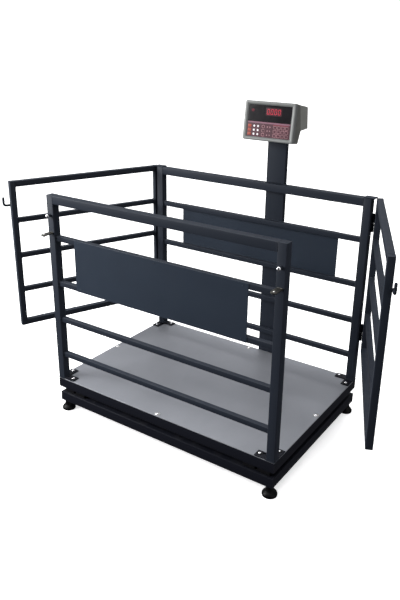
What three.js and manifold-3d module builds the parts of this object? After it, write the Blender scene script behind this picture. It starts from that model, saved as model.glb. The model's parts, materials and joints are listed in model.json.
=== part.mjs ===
// Platform scale for small livestock: a low weighing platform that stands on four load cells and four
// levelling feet, fenced on its long sides, closed by a swing gate at each end, and read from a weight
// indicator on a column behind it. Millimetres, +Z up, origin on the floor under the centre of the deck.
// The pieces are drawn with the deck's top face at height 0, and the whole is lifted onto the floor.
import * as THREE from 'three';
import { mergeVertices } from 'three/addons/utils/BufferGeometryUtils.js';
import Module from 'manifold-3d';

const wasm = await Module();
wasm.setup();

// Driving dimensions.
const GAP = 0.3;
const DECK_LENGTH = 1250;
const DECK_WIDTH = 870;
const DECK_THICKNESS = 4;
const FRAME_TUBE = 50;
const FRAME_WALL = 2;
const LOAD_CELL_SPACE = 30;
const INSET = 3.5;
const POST_TUBE = 40;
const POST_HEIGHT = 952;
const RAIL_TUBE = 25;
const THIN_WALL = 1.6;
const LOWEST_RAIL = 124.5;
const RAIL_PITCH = 190.5;
const SIGN_BAY = 228;
const SIGN_LENGTH = 934;
const SIGN_THICKNESS = 2;
const GATE_TUBE = 30;
const GATE_BOTTOM = 165;
const GATE_LOWEST_RAIL = 355;
const GATE_RAIL_PITCH = 190;
const GATE_ANGLE = 22.9;
const GATE_SHORT = 6;
const HINGE_SPACE = 11.5;
const HINGE_BACKSET = 3.5;
const HINGE_LENGTH = 93;
const HINGE_HEIGHTS = [267, 833];
const COLUMN_WIDTH = 106;
const COLUMN_DEPTH = 25;
const COLUMN_X = 101;
const COLUMN_TOP = 1192;
const FOOT_HEIGHT = 53;
const INDICATOR_WIDTH = 276;
const INDICATOR_HEIGHT = 186;
const INDICATOR_TILT = 7.1;

// Heights and positions that follow from them.
const PLATFORM_TOP = -DECK_THICKNESS - GAP;
const PLATFORM_BOTTOM = PLATFORM_TOP - FRAME_TUBE;
const BASE_TOP = PLATFORM_BOTTOM - LOAD_CELL_SPACE;
const BASE_BOTTOM = BASE_TOP - FRAME_TUBE;
const FLOOR = BASE_BOTTOM - FOOT_HEIGHT;
const OUTER_X = DECK_LENGTH / 2 - INSET;
const OUTER_Y = DECK_WIDTH / 2 - INSET;
const POST_X = (DECK_LENGTH - POST_TUBE) / 2;
const POST_Y = (DECK_WIDTH - POST_TUBE) / 2;
const FRAME_CORNER_X = OUTER_X - FRAME_TUBE / 2;
const FRAME_CORNER_Y = OUTER_Y - FRAME_TUBE / 2;
const HINGE_X = (DECK_LENGTH + HINGE_SPACE) / 2;
const HINGE_Y = OUTER_Y - HINGE_BACKSET;
const GATE_REACH = HINGE_Y + OUTER_Y - GATE_SHORT;
const GATE_X = (HINGE_SPACE + GATE_TUBE) / 2;

const rad = THREE.MathUtils.degToRad;

// Finishes.
const finish = (color, roughness, metalness) => () =>
  new THREE.MeshStandardMaterial({ color, roughness, metalness });
const darkPaint = finish('#343b45', 0.45, 0.1);
const deckSteel = finish('#a9adb2', 0.35, 0.9);
const zincSteel = finish('#b9bcc0', 0.3, 1);
const loadCellMetal = finish('#9fa3a6', 0.4, 1);
const footRubber = finish('#202225', 0.6, 0);
const lightPlastic = finish('#8f9694', 0.5, 0);
const darkPlastic = finish('#5d605d', 0.55, 0);
const smokedWindow = finish('#1a1517', 0.1, 0);
const keypadFilm = finish('#3c2228', 0.4, 0);
const boardGreen = finish('#1f5a37', 0.6, 0);

// Geometry helpers. A solid is a manifold body; a geometry is a three.js one.
function solidOf(geometry) {
  const bare = geometry.clone();
  bare.deleteAttribute('normal');
  bare.deleteAttribute('uv');
  const merged = mergeVertices(bare, 1e-4);
  const triVerts = new Uint32Array(merged.index.array);
  const vertProperties = new Float32Array(merged.attributes.position.array);
  return new wasm.Manifold(new wasm.Mesh({ numProp: 3, vertProperties, triVerts }));
}

function geometryOf(solid) {
  const mesh = solid.getMesh();
  const geometry = new THREE.BufferGeometry();
  geometry.setAttribute('position', new THREE.BufferAttribute(mesh.vertProperties, 3));
  geometry.setIndex(new THREE.BufferAttribute(mesh.triVerts, 1));
  geometry.computeVertexNormals();
  return geometry;
}

function joined(first, ...others) {
  return geometryOf(others.reduce((sum, other) => sum.add(solidOf(other)), solidOf(first)));
}

function cut(body, ...tools) {
  return geometryOf(tools.reduce((rest, tool) => rest.subtract(solidOf(tool)), solidOf(body)));
}

// A box between two corners.
function block(low, high) {
  const size = high.map((value, axis) => value - low[axis]);
  const centre = high.map((value, axis) => (value + low[axis]) / 2);
  return new THREE.BoxGeometry(...size).translate(...centre);
}

// A cylinder whose axis runs along x, y or z between two stations.
function rod(axis, radius, from, to, sides = 16) {
  const geometry = new THREE.CylinderGeometry(radius, radius, to - from, sides);
  geometry.translate(0, (from + to) / 2, 0);
  if (axis === 'x') geometry.rotateZ(-Math.PI / 2);
  if (axis === 'z') geometry.rotateX(Math.PI / 2);
  return geometry;
}

// A rectangle with round corners, as a closed outline.
function roundedRectangle(width, depth, radius, Outline = THREE.Shape) {
  const outline = new Outline();
  const x = width / 2 - radius;
  const y = depth / 2 - radius;
  outline.absarc(x, y, radius, 0, Math.PI / 2, false);
  outline.absarc(-x, y, radius, Math.PI / 2, Math.PI, false);
  outline.absarc(-x, -y, radius, Math.PI, 1.5 * Math.PI, false);
  outline.absarc(x, -y, radius, 1.5 * Math.PI, 2 * Math.PI, false);
  outline.closePath();
  return outline;
}

// A straight hollow tube along +Z with open ends, its section centred on the Z axis.
function tube(width, depth, wall, length) {
  const corner = 1.5 * wall;
  const section = roundedRectangle(width, depth, corner);
  section.holes.push(
    roundedRectangle(width - 2 * wall, depth - 2 * wall, corner - wall, THREE.Path),
  );
  return new THREE.ExtrudeGeometry(section, {
    depth: length, bevelEnabled: false, curveSegments: 1,
  });
}

function tubeAlongX(width, wall, length) {
  return tube(width, width, wall, length).translate(0, 0, -length / 2).rotateY(Math.PI / 2);
}

function tubeAlongY(width, wall, length) {
  return tube(width, width, wall, length).translate(0, 0, -length / 2).rotateX(-Math.PI / 2);
}

// An upright tube that is closed at its top.
function cappedTube(width, wall, length) {
  const half = (width - wall) / 2;
  const plug = block([-half, -half, length - wall], [half, half, length]);
  return joined(tube(width, width, wall, length), plug);
}

const model = new THREE.Group();
model.position.z = -FLOOR;

function add(parent, name, geometry, material, x = 0, y = 0, z = 0) {
  const mesh = new THREE.Mesh(geometry, material());
  mesh.name = name;
  mesh.position.set(x, y, z);
  parent.add(mesh);
  return mesh;
}

// The four corners: front is -Y, left is -X.
const CORNERS = [
  { name: 'front_left', sx: -1, sy: -1 },
  { name: 'front_right', sx: 1, sy: -1 },
  { name: 'back_left', sx: -1, sy: 1 },
  { name: 'back_right', sx: 1, sy: 1 },
];
const SIDES = [
  { name: 'front', sign: -1 },
  { name: 'back', sign: 1 },
];
const ENDS = [
  { name: 'left', sign: -1 },
  { name: 'right', sign: 1 },
];

// A rectangular frame of hollow tube, welded at its corners, with cross members. Lower face at z = 0.
function weldedFrame(halfX, halfY, crossX) {
  const inX = halfX - FRAME_TUBE;
  const inY = halfY - FRAME_TUBE;
  const wall = FRAME_WALL;
  const edges = crossX.flatMap((x) => [x - FRAME_TUBE / 2, x + FRAME_TUBE / 2]);
  const stops = [-inX, ...edges, inX];
  const windows = [];
  const bars = [];
  for (let i = 0; i < stops.length; i += 2) {
    windows.push(block([stops[i], -inY, -1], [stops[i + 1], inY, FRAME_TUBE + 1]));
    bars.push(
      block([stops[i] - wall, -inY - wall, 0], [stops[i + 1] + wall, inY + wall, FRAME_TUBE]),
    );
  }
  const hollow = cut(
    block([-halfX + wall, -halfY + wall, wall], [halfX - wall, halfY - wall, FRAME_TUBE - wall]),
    ...bars,
  );
  return cut(block([-halfX, -halfY, 0], [halfX, halfY, FRAME_TUBE]), ...windows, hollow);
}

// Base frame, with a weld nut above each foot hole.
const STEM_RADIUS = 6;
const NUT_RADIUS = 12;
const NUT_HEIGHT = 12;
const STEM_CLEARANCE = 0.4;

function baseFrame() {
  const ring = weldedFrame(OUTER_X, OUTER_Y, []);
  const nuts = [];
  const holes = [];
  for (const { sx, sy } of CORNERS) {
    const nut = rod('z', NUT_RADIUS, FRAME_WALL / 2, FRAME_WALL + NUT_HEIGHT, 6);
    nuts.push(nut.translate(sx * FRAME_CORNER_X, sy * FRAME_CORNER_Y, 0));
    const hole = rod('z', STEM_RADIUS + STEM_CLEARANCE, -1, FRAME_WALL + NUT_HEIGHT + 1);
    holes.push(hole.translate(sx * FRAME_CORNER_X, sy * FRAME_CORNER_Y, 0));
  }
  return cut(joined(ring, ...nuts), ...holes);
}
add(model, 'base_frame', baseFrame(), darkPaint, 0, 0, BASE_BOTTOM);

// Levelling foot: a wide puck, a tapered neck and a threaded stem that screws up into the base frame.
const PUCK_RADIUS = 34;
const PUCK_HEIGHT = 15;
const NECK_TOP_RADIUS = 17.5;
const NECK_FOOT_RADIUS = 21;
const STEM_LENGTH = 30;
const FOOT_CHAMFER = 4;
const FOOT_SIDES = 20;

function levellingFoot() {
  const chamfer = FOOT_CHAMFER;
  const neckTop = FOOT_HEIGHT - GAP;
  const outline = [
    [0, 0],
    [PUCK_RADIUS - chamfer, 0],
    [PUCK_RADIUS, chamfer],
    [PUCK_RADIUS, PUCK_HEIGHT - chamfer],
    [PUCK_RADIUS - 2 * chamfer, PUCK_HEIGHT],
    [NECK_FOOT_RADIUS, PUCK_HEIGHT + chamfer],
    [NECK_TOP_RADIUS, neckTop - chamfer],
    [NECK_TOP_RADIUS, neckTop],
    [STEM_RADIUS, neckTop],
    [STEM_RADIUS, neckTop + STEM_LENGTH],
    [0, neckTop + STEM_LENGTH],
  ].map(([r, h]) => new THREE.Vector2(r, h));
  return new THREE.LatheGeometry(outline, FOOT_SIDES).rotateX(Math.PI / 2);
}
for (const { name, sx, sy } of CORNERS) {
  const foot = levellingFoot();
  add(model, `levelling_foot_${name}`, foot, footRubber, sx * FRAME_CORNER_X, sy * FRAME_CORNER_Y, FLOOR);
}

// Load cell: a beam with a pad under its outer end and a pad on its inner end, so that it bends between
// the base frame and the platform frame.
const CELL_LENGTH = 130;
const CELL_WIDTH = 30;
const CELL_PAD = 4;
const CELL_PAD_LENGTH = 44;
const CELL_HOLE = 8;
const CELL_SETBACK = 24;

function loadCell(sx) {
  const height = LOAD_CELL_SPACE - 2 * GAP;
  const half = CELL_WIDTH / 2;
  const beam = block([0, -half, CELL_PAD], [CELL_LENGTH, half, height - CELL_PAD]);
  const outerPad = block([0, -half, 0], [CELL_PAD_LENGTH, half, CELL_PAD + 1]);
  const innerPad = block(
    [CELL_LENGTH - CELL_PAD_LENGTH, -half, height - CELL_PAD - 1],
    [CELL_LENGTH, half, height],
  );
  const throat = rod('y', CELL_HOLE, -half - 1, half + 1).translate(CELL_LENGTH / 2, 0, height / 2);
  const cell = cut(joined(beam, outerPad, innerPad), throat);
  return sx > 0 ? cell.rotateZ(Math.PI) : cell;
}
for (const { name, sx, sy } of CORNERS) {
  const x = sx * (OUTER_X - CELL_SETBACK);
  add(model, `load_cell_${name}`, loadCell(sx), loadCellMetal, x, sy * FRAME_CORNER_Y, BASE_TOP + GAP);
}

// Platform frame, with two cross members under the deck and a cable hole beside each load cell.
const CROSS_MEMBER_X = 210;
const CABLE_HOLE_RADIUS = 9;

function platformFrame() {
  const frame = weldedFrame(DECK_LENGTH / 2, DECK_WIDTH / 2, [-CROSS_MEMBER_X, CROSS_MEMBER_X]);
  const holes = CORNERS.map(({ sx, sy }) =>
    rod('z', CABLE_HOLE_RADIUS, -1, FRAME_WALL + 1).translate(
      sx * (FRAME_CORNER_X - CELL_LENGTH - FRAME_TUBE),
      sy * FRAME_CORNER_Y,
      0,
    ),
  );
  return cut(frame, ...holes);
}
add(model, 'platform_frame', platformFrame(), darkPaint, 0, 0, PLATFORM_BOTTOM);

const deck = block(
  [-DECK_LENGTH / 2, -DECK_WIDTH / 2, -DECK_THICKNESS],
  [DECK_LENGTH / 2, DECK_WIDTH / 2, 0],
);
add(model, 'deck_plate', deck, deckSteel);

// Lift-off hinge: the lower half carries the pin and is welded to the post, the upper half turns on it.
const BARREL_RADIUS = 5.45;
const PIN_RADIUS = 3;
const PIN_CLEARANCE = 0.3;
const WELD_THICKNESS = 8;

function hingeLowerHalf(sign, height) {
  const half = HINGE_LENGTH / 2;
  const barrel = rod('z', BARREL_RADIUS, -half, -GAP / 2);
  const pin = rod('z', PIN_RADIUS, -half, half - BARREL_RADIUS);
  const leafX = [-sign * (HINGE_SPACE / 2 + 1), 0].sort((a, b) => a - b);
  const leaf = block([leafX[0], -WELD_THICKNESS / 2, -half], [leafX[1], WELD_THICKNESS / 2, -GAP / 2]);
  return joined(barrel, pin, leaf).translate(0, 0, height);
}

function hingeUpperHalf(sign, height) {
  const half = HINGE_LENGTH / 2;
  const barrel = rod('z', BARREL_RADIUS, GAP / 2, half);
  const leafX = [0, sign * (HINGE_SPACE / 2 + 1)].sort((a, b) => a - b);
  const leaf = block([leafX[0], -WELD_THICKNESS / 2, GAP / 2], [leafX[1], WELD_THICKNESS / 2, half]);
  const bore = rod('z', PIN_RADIUS + PIN_CLEARANCE, -1, half - BARREL_RADIUS + 1);
  return cut(joined(barrel, leaf), bore).translate(0, 0, height);
}

// Corner posts. The back posts carry the lower hinge halves.
for (const { name, sx, sy } of CORNERS) {
  let post = cappedTube(POST_TUBE, FRAME_WALL, POST_HEIGHT - GAP).translate(0, 0, GAP);
  if (sy > 0) {
    const hinges = HINGE_HEIGHTS.map((height) =>
      hingeLowerHalf(sx, height).translate(sx * (HINGE_X - POST_X), HINGE_Y - POST_Y, 0),
    );
    post = joined(post, ...hinges);
  }
  add(model, `post_${name}`, post, darkPaint, sx * POST_X, sy * POST_Y);
}

// Foot bracket: an L-shaped plate on the deck, with one ear along each of the post's inner faces.
const BRACKET_THICKNESS = 5;
const BRACKET_REACH = 58;
const BRACKET_WIDTH = 42;

function footBracket(sx, sy) {
  const face = POST_TUBE / 2;
  const near = -face - GAP;
  const far = -face - BRACKET_REACH;
  const outline = new THREE.Shape();
  outline.moveTo(near, face);
  outline.lineTo(far, face);
  outline.lineTo(far, face - BRACKET_WIDTH);
  outline.lineTo(face - BRACKET_WIDTH, face - BRACKET_WIDTH);
  outline.lineTo(face - BRACKET_WIDTH, far);
  outline.lineTo(face, far);
  outline.lineTo(face, near);
  outline.lineTo(near, near);
  outline.closePath();
  const plate = new THREE.ExtrudeGeometry(outline, {
    depth: BRACKET_THICKNESS, bevelEnabled: false,
  });
  return plate.rotateZ(Math.atan2(sy, sx) - Math.PI / 4);
}
for (const { name, sx, sy } of CORNERS) {
  add(model, `foot_bracket_${name}`, footBracket(sx, sy), darkPaint, sx * POST_X, sy * POST_Y, GAP);
}

// Side fences: a top rail as thick as the posts, four thin rails and a sign plate outside two of them.
const RAILS = [
  { name: 'lower', height: LOWEST_RAIL },
  { name: 'middle', height: LOWEST_RAIL + RAIL_PITCH },
  { name: 'sign_lower', height: LOWEST_RAIL + 2 * RAIL_PITCH },
  { name: 'sign_upper', height: LOWEST_RAIL + 2 * RAIL_PITCH + SIGN_BAY },
];
const RAIL_LENGTH = 2 * (POST_X - POST_TUBE / 2 - GAP);
const SIGN_BOTTOM = RAILS[2].height;
const SIGN_TOP = RAILS[3].height + RAIL_TUBE;
const SIGN_FACE = RAIL_TUBE / 2 + GAP;

for (const { name: side, sign } of SIDES) {
  const topRail = tubeAlongX(POST_TUBE, FRAME_WALL, RAIL_LENGTH);
  const topHeight = POST_HEIGHT - POST_TUBE / 2;
  add(model, `${side}_top_rail`, topRail, darkPaint, 0, sign * POST_Y, topHeight);
  for (const { name, height } of RAILS) {
    const rail = tubeAlongX(RAIL_TUBE, THIN_WALL, RAIL_LENGTH);
    add(model, `${side}_${name}_rail`, rail, darkPaint, 0, sign * POST_Y, height + RAIL_TUBE / 2);
  }
  const depths = [SIGN_FACE, SIGN_FACE + SIGN_THICKNESS].map((d) => sign * (POST_Y + d));
  depths.sort((a, b) => a - b);
  const plate = block(
    [-SIGN_LENGTH / 2, depths[0], SIGN_BOTTOM],
    [SIGN_LENGTH / 2, depths[1], SIGN_TOP],
  );
  add(model, `${side}_sign_plate`, plate, darkPaint);
}

// Front posts: a ball stud that a tie loop drops over, and a round-ended tab below it.
const STUD_HEIGHT = 857;
const STUD_REACH = 17.5;
const BALL_STEPS = 8;
const BALL_RADIUS = 9.5;
const SHANK_RADIUS = 4.5;
const COLLAR_RADIUS = 8;
const COLLAR_THICKNESS = 3;

function ballStud() {
  const touch = Math.sqrt(BALL_RADIUS ** 2 - SHANK_RADIUS ** 2);
  const outline = [
    new THREE.Vector2(0, GAP),
    new THREE.Vector2(COLLAR_RADIUS, GAP),
    new THREE.Vector2(COLLAR_RADIUS, GAP + COLLAR_THICKNESS),
    new THREE.Vector2(SHANK_RADIUS, GAP + COLLAR_THICKNESS),
  ];
  const start = Math.atan2(-touch, SHANK_RADIUS);
  for (let i = 0; i < BALL_STEPS; i += 1) {
    const angle = start + ((Math.PI / 2 - start) * i) / BALL_STEPS;
    const r = BALL_RADIUS * Math.cos(angle);
    outline.push(new THREE.Vector2(r, STUD_REACH + BALL_RADIUS * Math.sin(angle)));
  }
  outline.push(new THREE.Vector2(0, STUD_REACH + BALL_RADIUS));
  return new THREE.LatheGeometry(outline, 16).rotateX(Math.PI);
}

const TAB_HEIGHT = 775;
const TAB_THICKNESS = 5;
const TAB_WIDTH = 28;
const TAB_REACH = 46.5;

function roundEndedTab() {
  const half = TAB_WIDTH / 2;
  const outline = new THREE.Shape();
  outline.moveTo(half, -GAP);
  outline.lineTo(-half, -GAP);
  outline.lineTo(-half, -TAB_REACH);
  outline.absarc(0, -TAB_REACH, half, Math.PI, 2 * Math.PI, false);
  outline.closePath();
  return new THREE.ExtrudeGeometry(outline, {
    depth: TAB_THICKNESS, bevelEnabled: false, curveSegments: 6,
  });
}
for (const { name, sign } of ENDS) {
  add(model, `ball_stud_${name}`, ballStud(), zincSteel, sign * POST_X, -DECK_WIDTH / 2, STUD_HEIGHT);
  const tabZ = TAB_HEIGHT - TAB_THICKNESS;
  add(model, `post_tab_${name}`, roundEndedTab(), zincSteel, sign * POST_X, -DECK_WIDTH / 2, tabZ);
}

// Hinge cap: a flat plate on each back post that reaches out over the gate's hinge side.
const CAP_THICKNESS = 5;
const CAP_REACH = 14.5;

function hingeCap(sign) {
  const half = POST_TUBE / 2;
  const spanX = [-sign * half, sign * (half + CAP_REACH)].sort((a, b) => a - b);
  return block([spanX[0], -half, 0], [spanX[1], half, CAP_THICKNESS]);
}
for (const { name, sign } of ENDS) {
  add(model, `hinge_cap_${name}`, hingeCap(sign), darkPaint, sign * POST_X, POST_Y, POST_HEIGHT + GAP);
}

// Gates. Each is built closed, about its hinge axis, and then swung open with its group.
const GATE_HEIGHT = POST_HEIGHT - GATE_BOTTOM;
const GATE_RAIL_LENGTH = GATE_REACH + HINGE_BACKSET - 2 * (GATE_TUBE + GAP);
const GATE_MIDDLE_Y = HINGE_BACKSET - (GATE_REACH + HINGE_BACKSET) / 2;
const GATE_RAILS = ['lower', 'middle', 'upper'].map((level, step) => ({
  name: `${level}_rail`,
  height: GATE_LOWEST_RAIL + step * GATE_RAIL_PITCH,
}));

// Gate hook: a round bar laid along the outer side of the free stile, turned up past the stile's end.
const HOOK_HEIGHT = 825;
const HOOK_RISE = 45;
const HOOK_LAP = 22;
const HOOK_REACH = 29;
const HOOK_RADIUS = 6;
const HOOK_BEND = 11;

function upturnedHook() {
  const path = new THREE.CurvePath();
  const end = HOOK_LAP + HOOK_REACH;
  const bendStart = new THREE.Vector3(0, -end + HOOK_BEND, 0);
  const bendMiddle = new THREE.Vector3(0, -end, 0);
  const bendEnd = new THREE.Vector3(0, -end, HOOK_BEND);
  path.add(new THREE.LineCurve3(new THREE.Vector3(0, 0, 0), bendStart));
  path.add(new THREE.QuadraticBezierCurve3(bendStart, bendMiddle, bendEnd));
  path.add(new THREE.LineCurve3(bendEnd, new THREE.Vector3(0, -end, HOOK_RISE)));
  const section = new THREE.Shape().absarc(0, 0, HOOK_RADIUS, 0, 2 * Math.PI, false);
  return new THREE.ExtrudeGeometry(section, { steps: 24, curveSegments: 10, extrudePath: path });
}

function gate(name, sign) {
  const group = new THREE.Group();
  group.position.set(sign * HINGE_X, HINGE_Y, 0);
  group.rotation.z = sign * rad(GATE_ANGLE);
  model.add(group);
  const x = sign * GATE_X;
  const stile = cappedTube(GATE_TUBE, FRAME_WALL, GATE_HEIGHT);
  const hingeStile = joined(
    stile.clone().translate(x, HINGE_BACKSET - GATE_TUBE / 2, GATE_BOTTOM),
    ...HINGE_HEIGHTS.map((height) => hingeUpperHalf(sign, height)),
  );
  add(group, `gate_${name}_hinge_stile`, hingeStile, darkPaint);
  add(group, `gate_${name}_free_stile`, stile, darkPaint, x, -GATE_REACH + GATE_TUBE / 2, GATE_BOTTOM);
  const thick = [
    { rail: 'top_rail', height: POST_HEIGHT - GATE_TUBE / 2 },
    { rail: 'bottom_rail', height: GATE_BOTTOM + GATE_TUBE / 2 },
  ];
  for (const { rail, height } of thick) {
    const body = tubeAlongY(GATE_TUBE, FRAME_WALL, GATE_RAIL_LENGTH);
    add(group, `gate_${name}_${rail}`, body, darkPaint, x, GATE_MIDDLE_Y, height);
  }
  for (const { name: rail, height } of GATE_RAILS) {
    const body = tubeAlongY(RAIL_TUBE, THIN_WALL, GATE_RAIL_LENGTH);
    add(group, `gate_${name}_${rail}`, body, darkPaint, x, GATE_MIDDLE_Y, height + RAIL_TUBE / 2);
  }
  const hookX = x + sign * (GATE_TUBE / 2 + HOOK_RADIUS + GAP);
  const hookY = -GATE_REACH + HOOK_LAP;
  add(group, `gate_${name}_hook`, upturnedHook(), darkPaint, hookX, hookY, HOOK_HEIGHT);
}
for (const { name, sign } of ENDS) gate(name, sign);

// Indicator column: a flat rectangular tube behind the platform, padded off the base frame.
const COLUMN_SPACE = 2;
const COLUMN_Y = DECK_WIDTH / 2 + COLUMN_SPACE + COLUMN_DEPTH / 2;
const PAD_HEIGHT = 44;
const PAD_MARGIN = 5;
const PAD_RISE = 3;

function column() {
  const length = COLUMN_TOP - BASE_BOTTOM;
  const body = tube(COLUMN_WIDTH, COLUMN_DEPTH, FRAME_WALL, length);
  const padDepth = COLUMN_Y - COLUMN_DEPTH / 2 - OUTER_Y - GAP;
  const front = -COLUMN_DEPTH / 2;
  const half = COLUMN_WIDTH / 2 - PAD_MARGIN;
  const pad = block(
    [-half, front - padDepth, PAD_RISE],
    [half, front + FRAME_WALL / 2, PAD_RISE + PAD_HEIGHT],
  );
  return joined(body, pad);
}
add(model, 'indicator_column', column(), darkPaint, COLUMN_X, COLUMN_Y, BASE_BOTTOM);

// Head bracket: a plate on the column's top with two lugs and the pivot bolt between them.
const LUG_THICKNESS = 4;
const LUG_RADIUS = 11;
const LUG_SPACING = 46;
const PIVOT_HEIGHT = 16;
const PIVOT_RADIUS = 3.7;

function headBracket() {
  const x = LUG_SPACING / 2;
  const half = COLUMN_DEPTH / 2;
  const plate = block([-x - LUG_THICKNESS, -half, GAP], [x + LUG_THICKNESS, half, LUG_THICKNESS]);
  const lugs = [-1, 1].flatMap((side) => {
    const span = [side * x, side * (x + LUG_THICKNESS)].sort((a, b) => a - b);
    const web = block([span[0], -LUG_RADIUS, GAP], [span[1], LUG_RADIUS, PIVOT_HEIGHT]);
    const end = rod('x', LUG_RADIUS, span[0], span[1], 20).translate(0, 0, PIVOT_HEIGHT);
    return [web, end];
  });
  const reach = x + 2 * LUG_THICKNESS;
  const bolt = rod('x', PIVOT_RADIUS, -reach, reach, 20).translate(0, 0, PIVOT_HEIGHT);
  return joined(plate, ...lugs, bolt);
}
add(model, 'column_head_bracket', headBracket(), darkPaint, COLUMN_X, COLUMN_Y, COLUMN_TOP);

// Weight indicator. It is built upright about its pivot, front towards -Y, and leans back by its tilt.
const BEZEL_DEPTH = 14;
const BEZEL_SIDE = 21;
const BEZEL_TOP = 17;
const BEZEL_BOTTOM = 17;
const PANEL_RECESS = 3;
const WINDOW_THICKNESS = 2.5;
const PANEL_LEDGE = 6;
const WINDOW_HEIGHT = 79;
const SHELL = 3;
const HOUSING_INSET = 6;
const indicator = new THREE.Group();
indicator.position.set(COLUMN_X, COLUMN_Y, COLUMN_TOP + PIVOT_HEIGHT);
indicator.rotation.x = -rad(INDICATOR_TILT);
model.add(indicator);

// The face's lower edge, seen from the pivot.
const FACE_Y = -116.5;
const FACE_Z = -51.8;

// A plate of the face: its span across, its span up the face and its span behind the face.
function facePlate(left, right, bottom, top, front, back) {
  return block([left, FACE_Y + front, FACE_Z + bottom], [right, FACE_Y + back, FACE_Z + top]);
}

function bezel() {
  const half = INDICATOR_WIDTH / 2;
  const top = INDICATOR_HEIGHT - BEZEL_TOP;
  const side = half - BEZEL_SIDE;
  const ledge = PANEL_LEDGE;
  const seat = PANEL_RECESS + WINDOW_THICKNESS + GAP;
  const body = facePlate(-half, half, 0, INDICATOR_HEIGHT, 0, BEZEL_DEPTH - GAP);
  const front = facePlate(-side, side, BEZEL_BOTTOM, top, -1, seat);
  const back = facePlate(
    -side + ledge, side - ledge, BEZEL_BOTTOM + ledge, top - ledge, -1, BEZEL_DEPTH + 1,
  );
  return cut(body, front, back);
}

// The housing's side profile, in (depth behind the face, height up the face). It is shallow below and
// deep above a step, where it rests over the column. An offset makes the inside, which opens forwards.
const LOW_DEPTH = 68;
const STEP_DEPTH = 85.5;
const STEP_HEIGHT = 61;
const BLOCK_DEPTH = 161;
const BLOCK_HEIGHT = 74;
const TOP_DEPTH = 137;
const TOP_HEIGHT = INDICATOR_HEIGHT - 10;

function housingProfile(offset, front) {
  const outline = new THREE.Shape();
  outline.moveTo(front, offset);
  outline.lineTo(LOW_DEPTH - offset, offset);
  outline.lineTo(STEP_DEPTH - offset, STEP_HEIGHT + offset);
  outline.lineTo(BLOCK_DEPTH - offset, BLOCK_HEIGHT + offset);
  outline.lineTo(TOP_DEPTH - offset, TOP_HEIGHT - offset);
  outline.lineTo(front, INDICATOR_HEIGHT - 1 - offset);
  outline.closePath();
  return outline;
}

function housingSolid(offset, front) {
  const width = INDICATOR_WIDTH - 2 * HOUSING_INSET - 2 * offset;
  const body = new THREE.ExtrudeGeometry(housingProfile(offset, front), {
    depth: width, bevelEnabled: false,
  });
  body.translate(0, 0, -width / 2);
  const across = new THREE.Vector3(1, 0, 0);
  const backwards = new THREE.Vector3(0, 1, 0);
  const upwards = new THREE.Vector3(0, 0, 1);
  const turn = new THREE.Matrix4().makeBasis(backwards, upwards, across);
  return body.applyMatrix4(turn).translate(0, FACE_Y, FACE_Z);
}

const GLAND_RADIUS = 8;
const GLAND_REACH = 24;
const GLAND_HEIGHT = 30;

function housing() {
  const halfLug = LUG_SPACING / 2 - 1;
  const lugTop = FACE_Z + BLOCK_HEIGHT;
  const lug = joined(
    block([-halfLug, -LUG_RADIUS, 0], [halfLug, LUG_RADIUS, lugTop]),
    rod('x', LUG_RADIUS, -halfLug, halfLug, 20),
  );
  const shell = cut(housingSolid(0, BEZEL_DEPTH), housingSolid(SHELL, BEZEL_DEPTH - 1));
  const gland = rod('y', GLAND_RADIUS, LOW_DEPTH, LOW_DEPTH + GLAND_REACH);
  gland.translate(-INDICATOR_WIDTH / 4, FACE_Y, FACE_Z + GLAND_HEIGHT);
  const bore = rod('x', PIVOT_RADIUS + PIN_CLEARANCE, -halfLug - 1, halfLug + 1, 20);
  return cut(joined(shell, lug, gland), bore);
}

// Circuit board inside the housing, with the digit display standing on it behind the window.
const BOARD_WIDTH = 200;
const BOARD_LOW = 30;
const BOARD_HIGH = 150;
const BOARD_DEPTH = 28;
const BOARD_THICKNESS = 1.6;
const DISPLAY_WIDTH = 160;
const DISPLAY_LOW = 96;
const DISPLAY_HIGH = 146;
const DISPLAY_FRONT = 17;

function circuitBoard() {
  const boardBack = BOARD_DEPTH + BOARD_THICKNESS;
  const half = BOARD_WIDTH / 2;
  const halfDisplay = DISPLAY_WIDTH / 2;
  return joined(
    facePlate(-half, half, BOARD_LOW, BOARD_HIGH, BOARD_DEPTH, boardBack),
    facePlate(-halfDisplay, halfDisplay, DISPLAY_LOW, DISPLAY_HIGH, DISPLAY_FRONT, BOARD_DEPTH + 1),
  );
}

function indicatorHead() {
  const half = INDICATOR_WIDTH / 2 - BEZEL_SIDE - GAP;
  const top = INDICATOR_HEIGHT - BEZEL_TOP - GAP;
  const split = INDICATOR_HEIGHT - BEZEL_TOP - WINDOW_HEIGHT;
  const front = PANEL_RECESS;
  const back = PANEL_RECESS + WINDOW_THICKNESS;
  add(indicator, 'indicator_bezel', bezel(), lightPlastic);
  add(indicator, 'indicator_housing', housing(), darkPlastic);
  const window = facePlate(-half, half, split + GAP, top, front, back);
  add(indicator, 'display_window', window, smokedWindow);
  const keypad = facePlate(-half, half, BEZEL_BOTTOM + GAP, split, front, back);
  add(indicator, 'keypad_panel', keypad, keypadFilm);
  add(indicator, 'indicator_circuit_board', circuitBoard(), boardGreen);
}
indicatorHead();

export default model;
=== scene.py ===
"""Looks of a platform scale for small livestock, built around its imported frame. Metres, +Z up, the floor
at z = 0, front towards -Y. Sizes and places come from the CAD nodes and the record's joints."""

import json
import math

import bmesh
import bpy
from mathutils import Matrix, Vector


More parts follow.
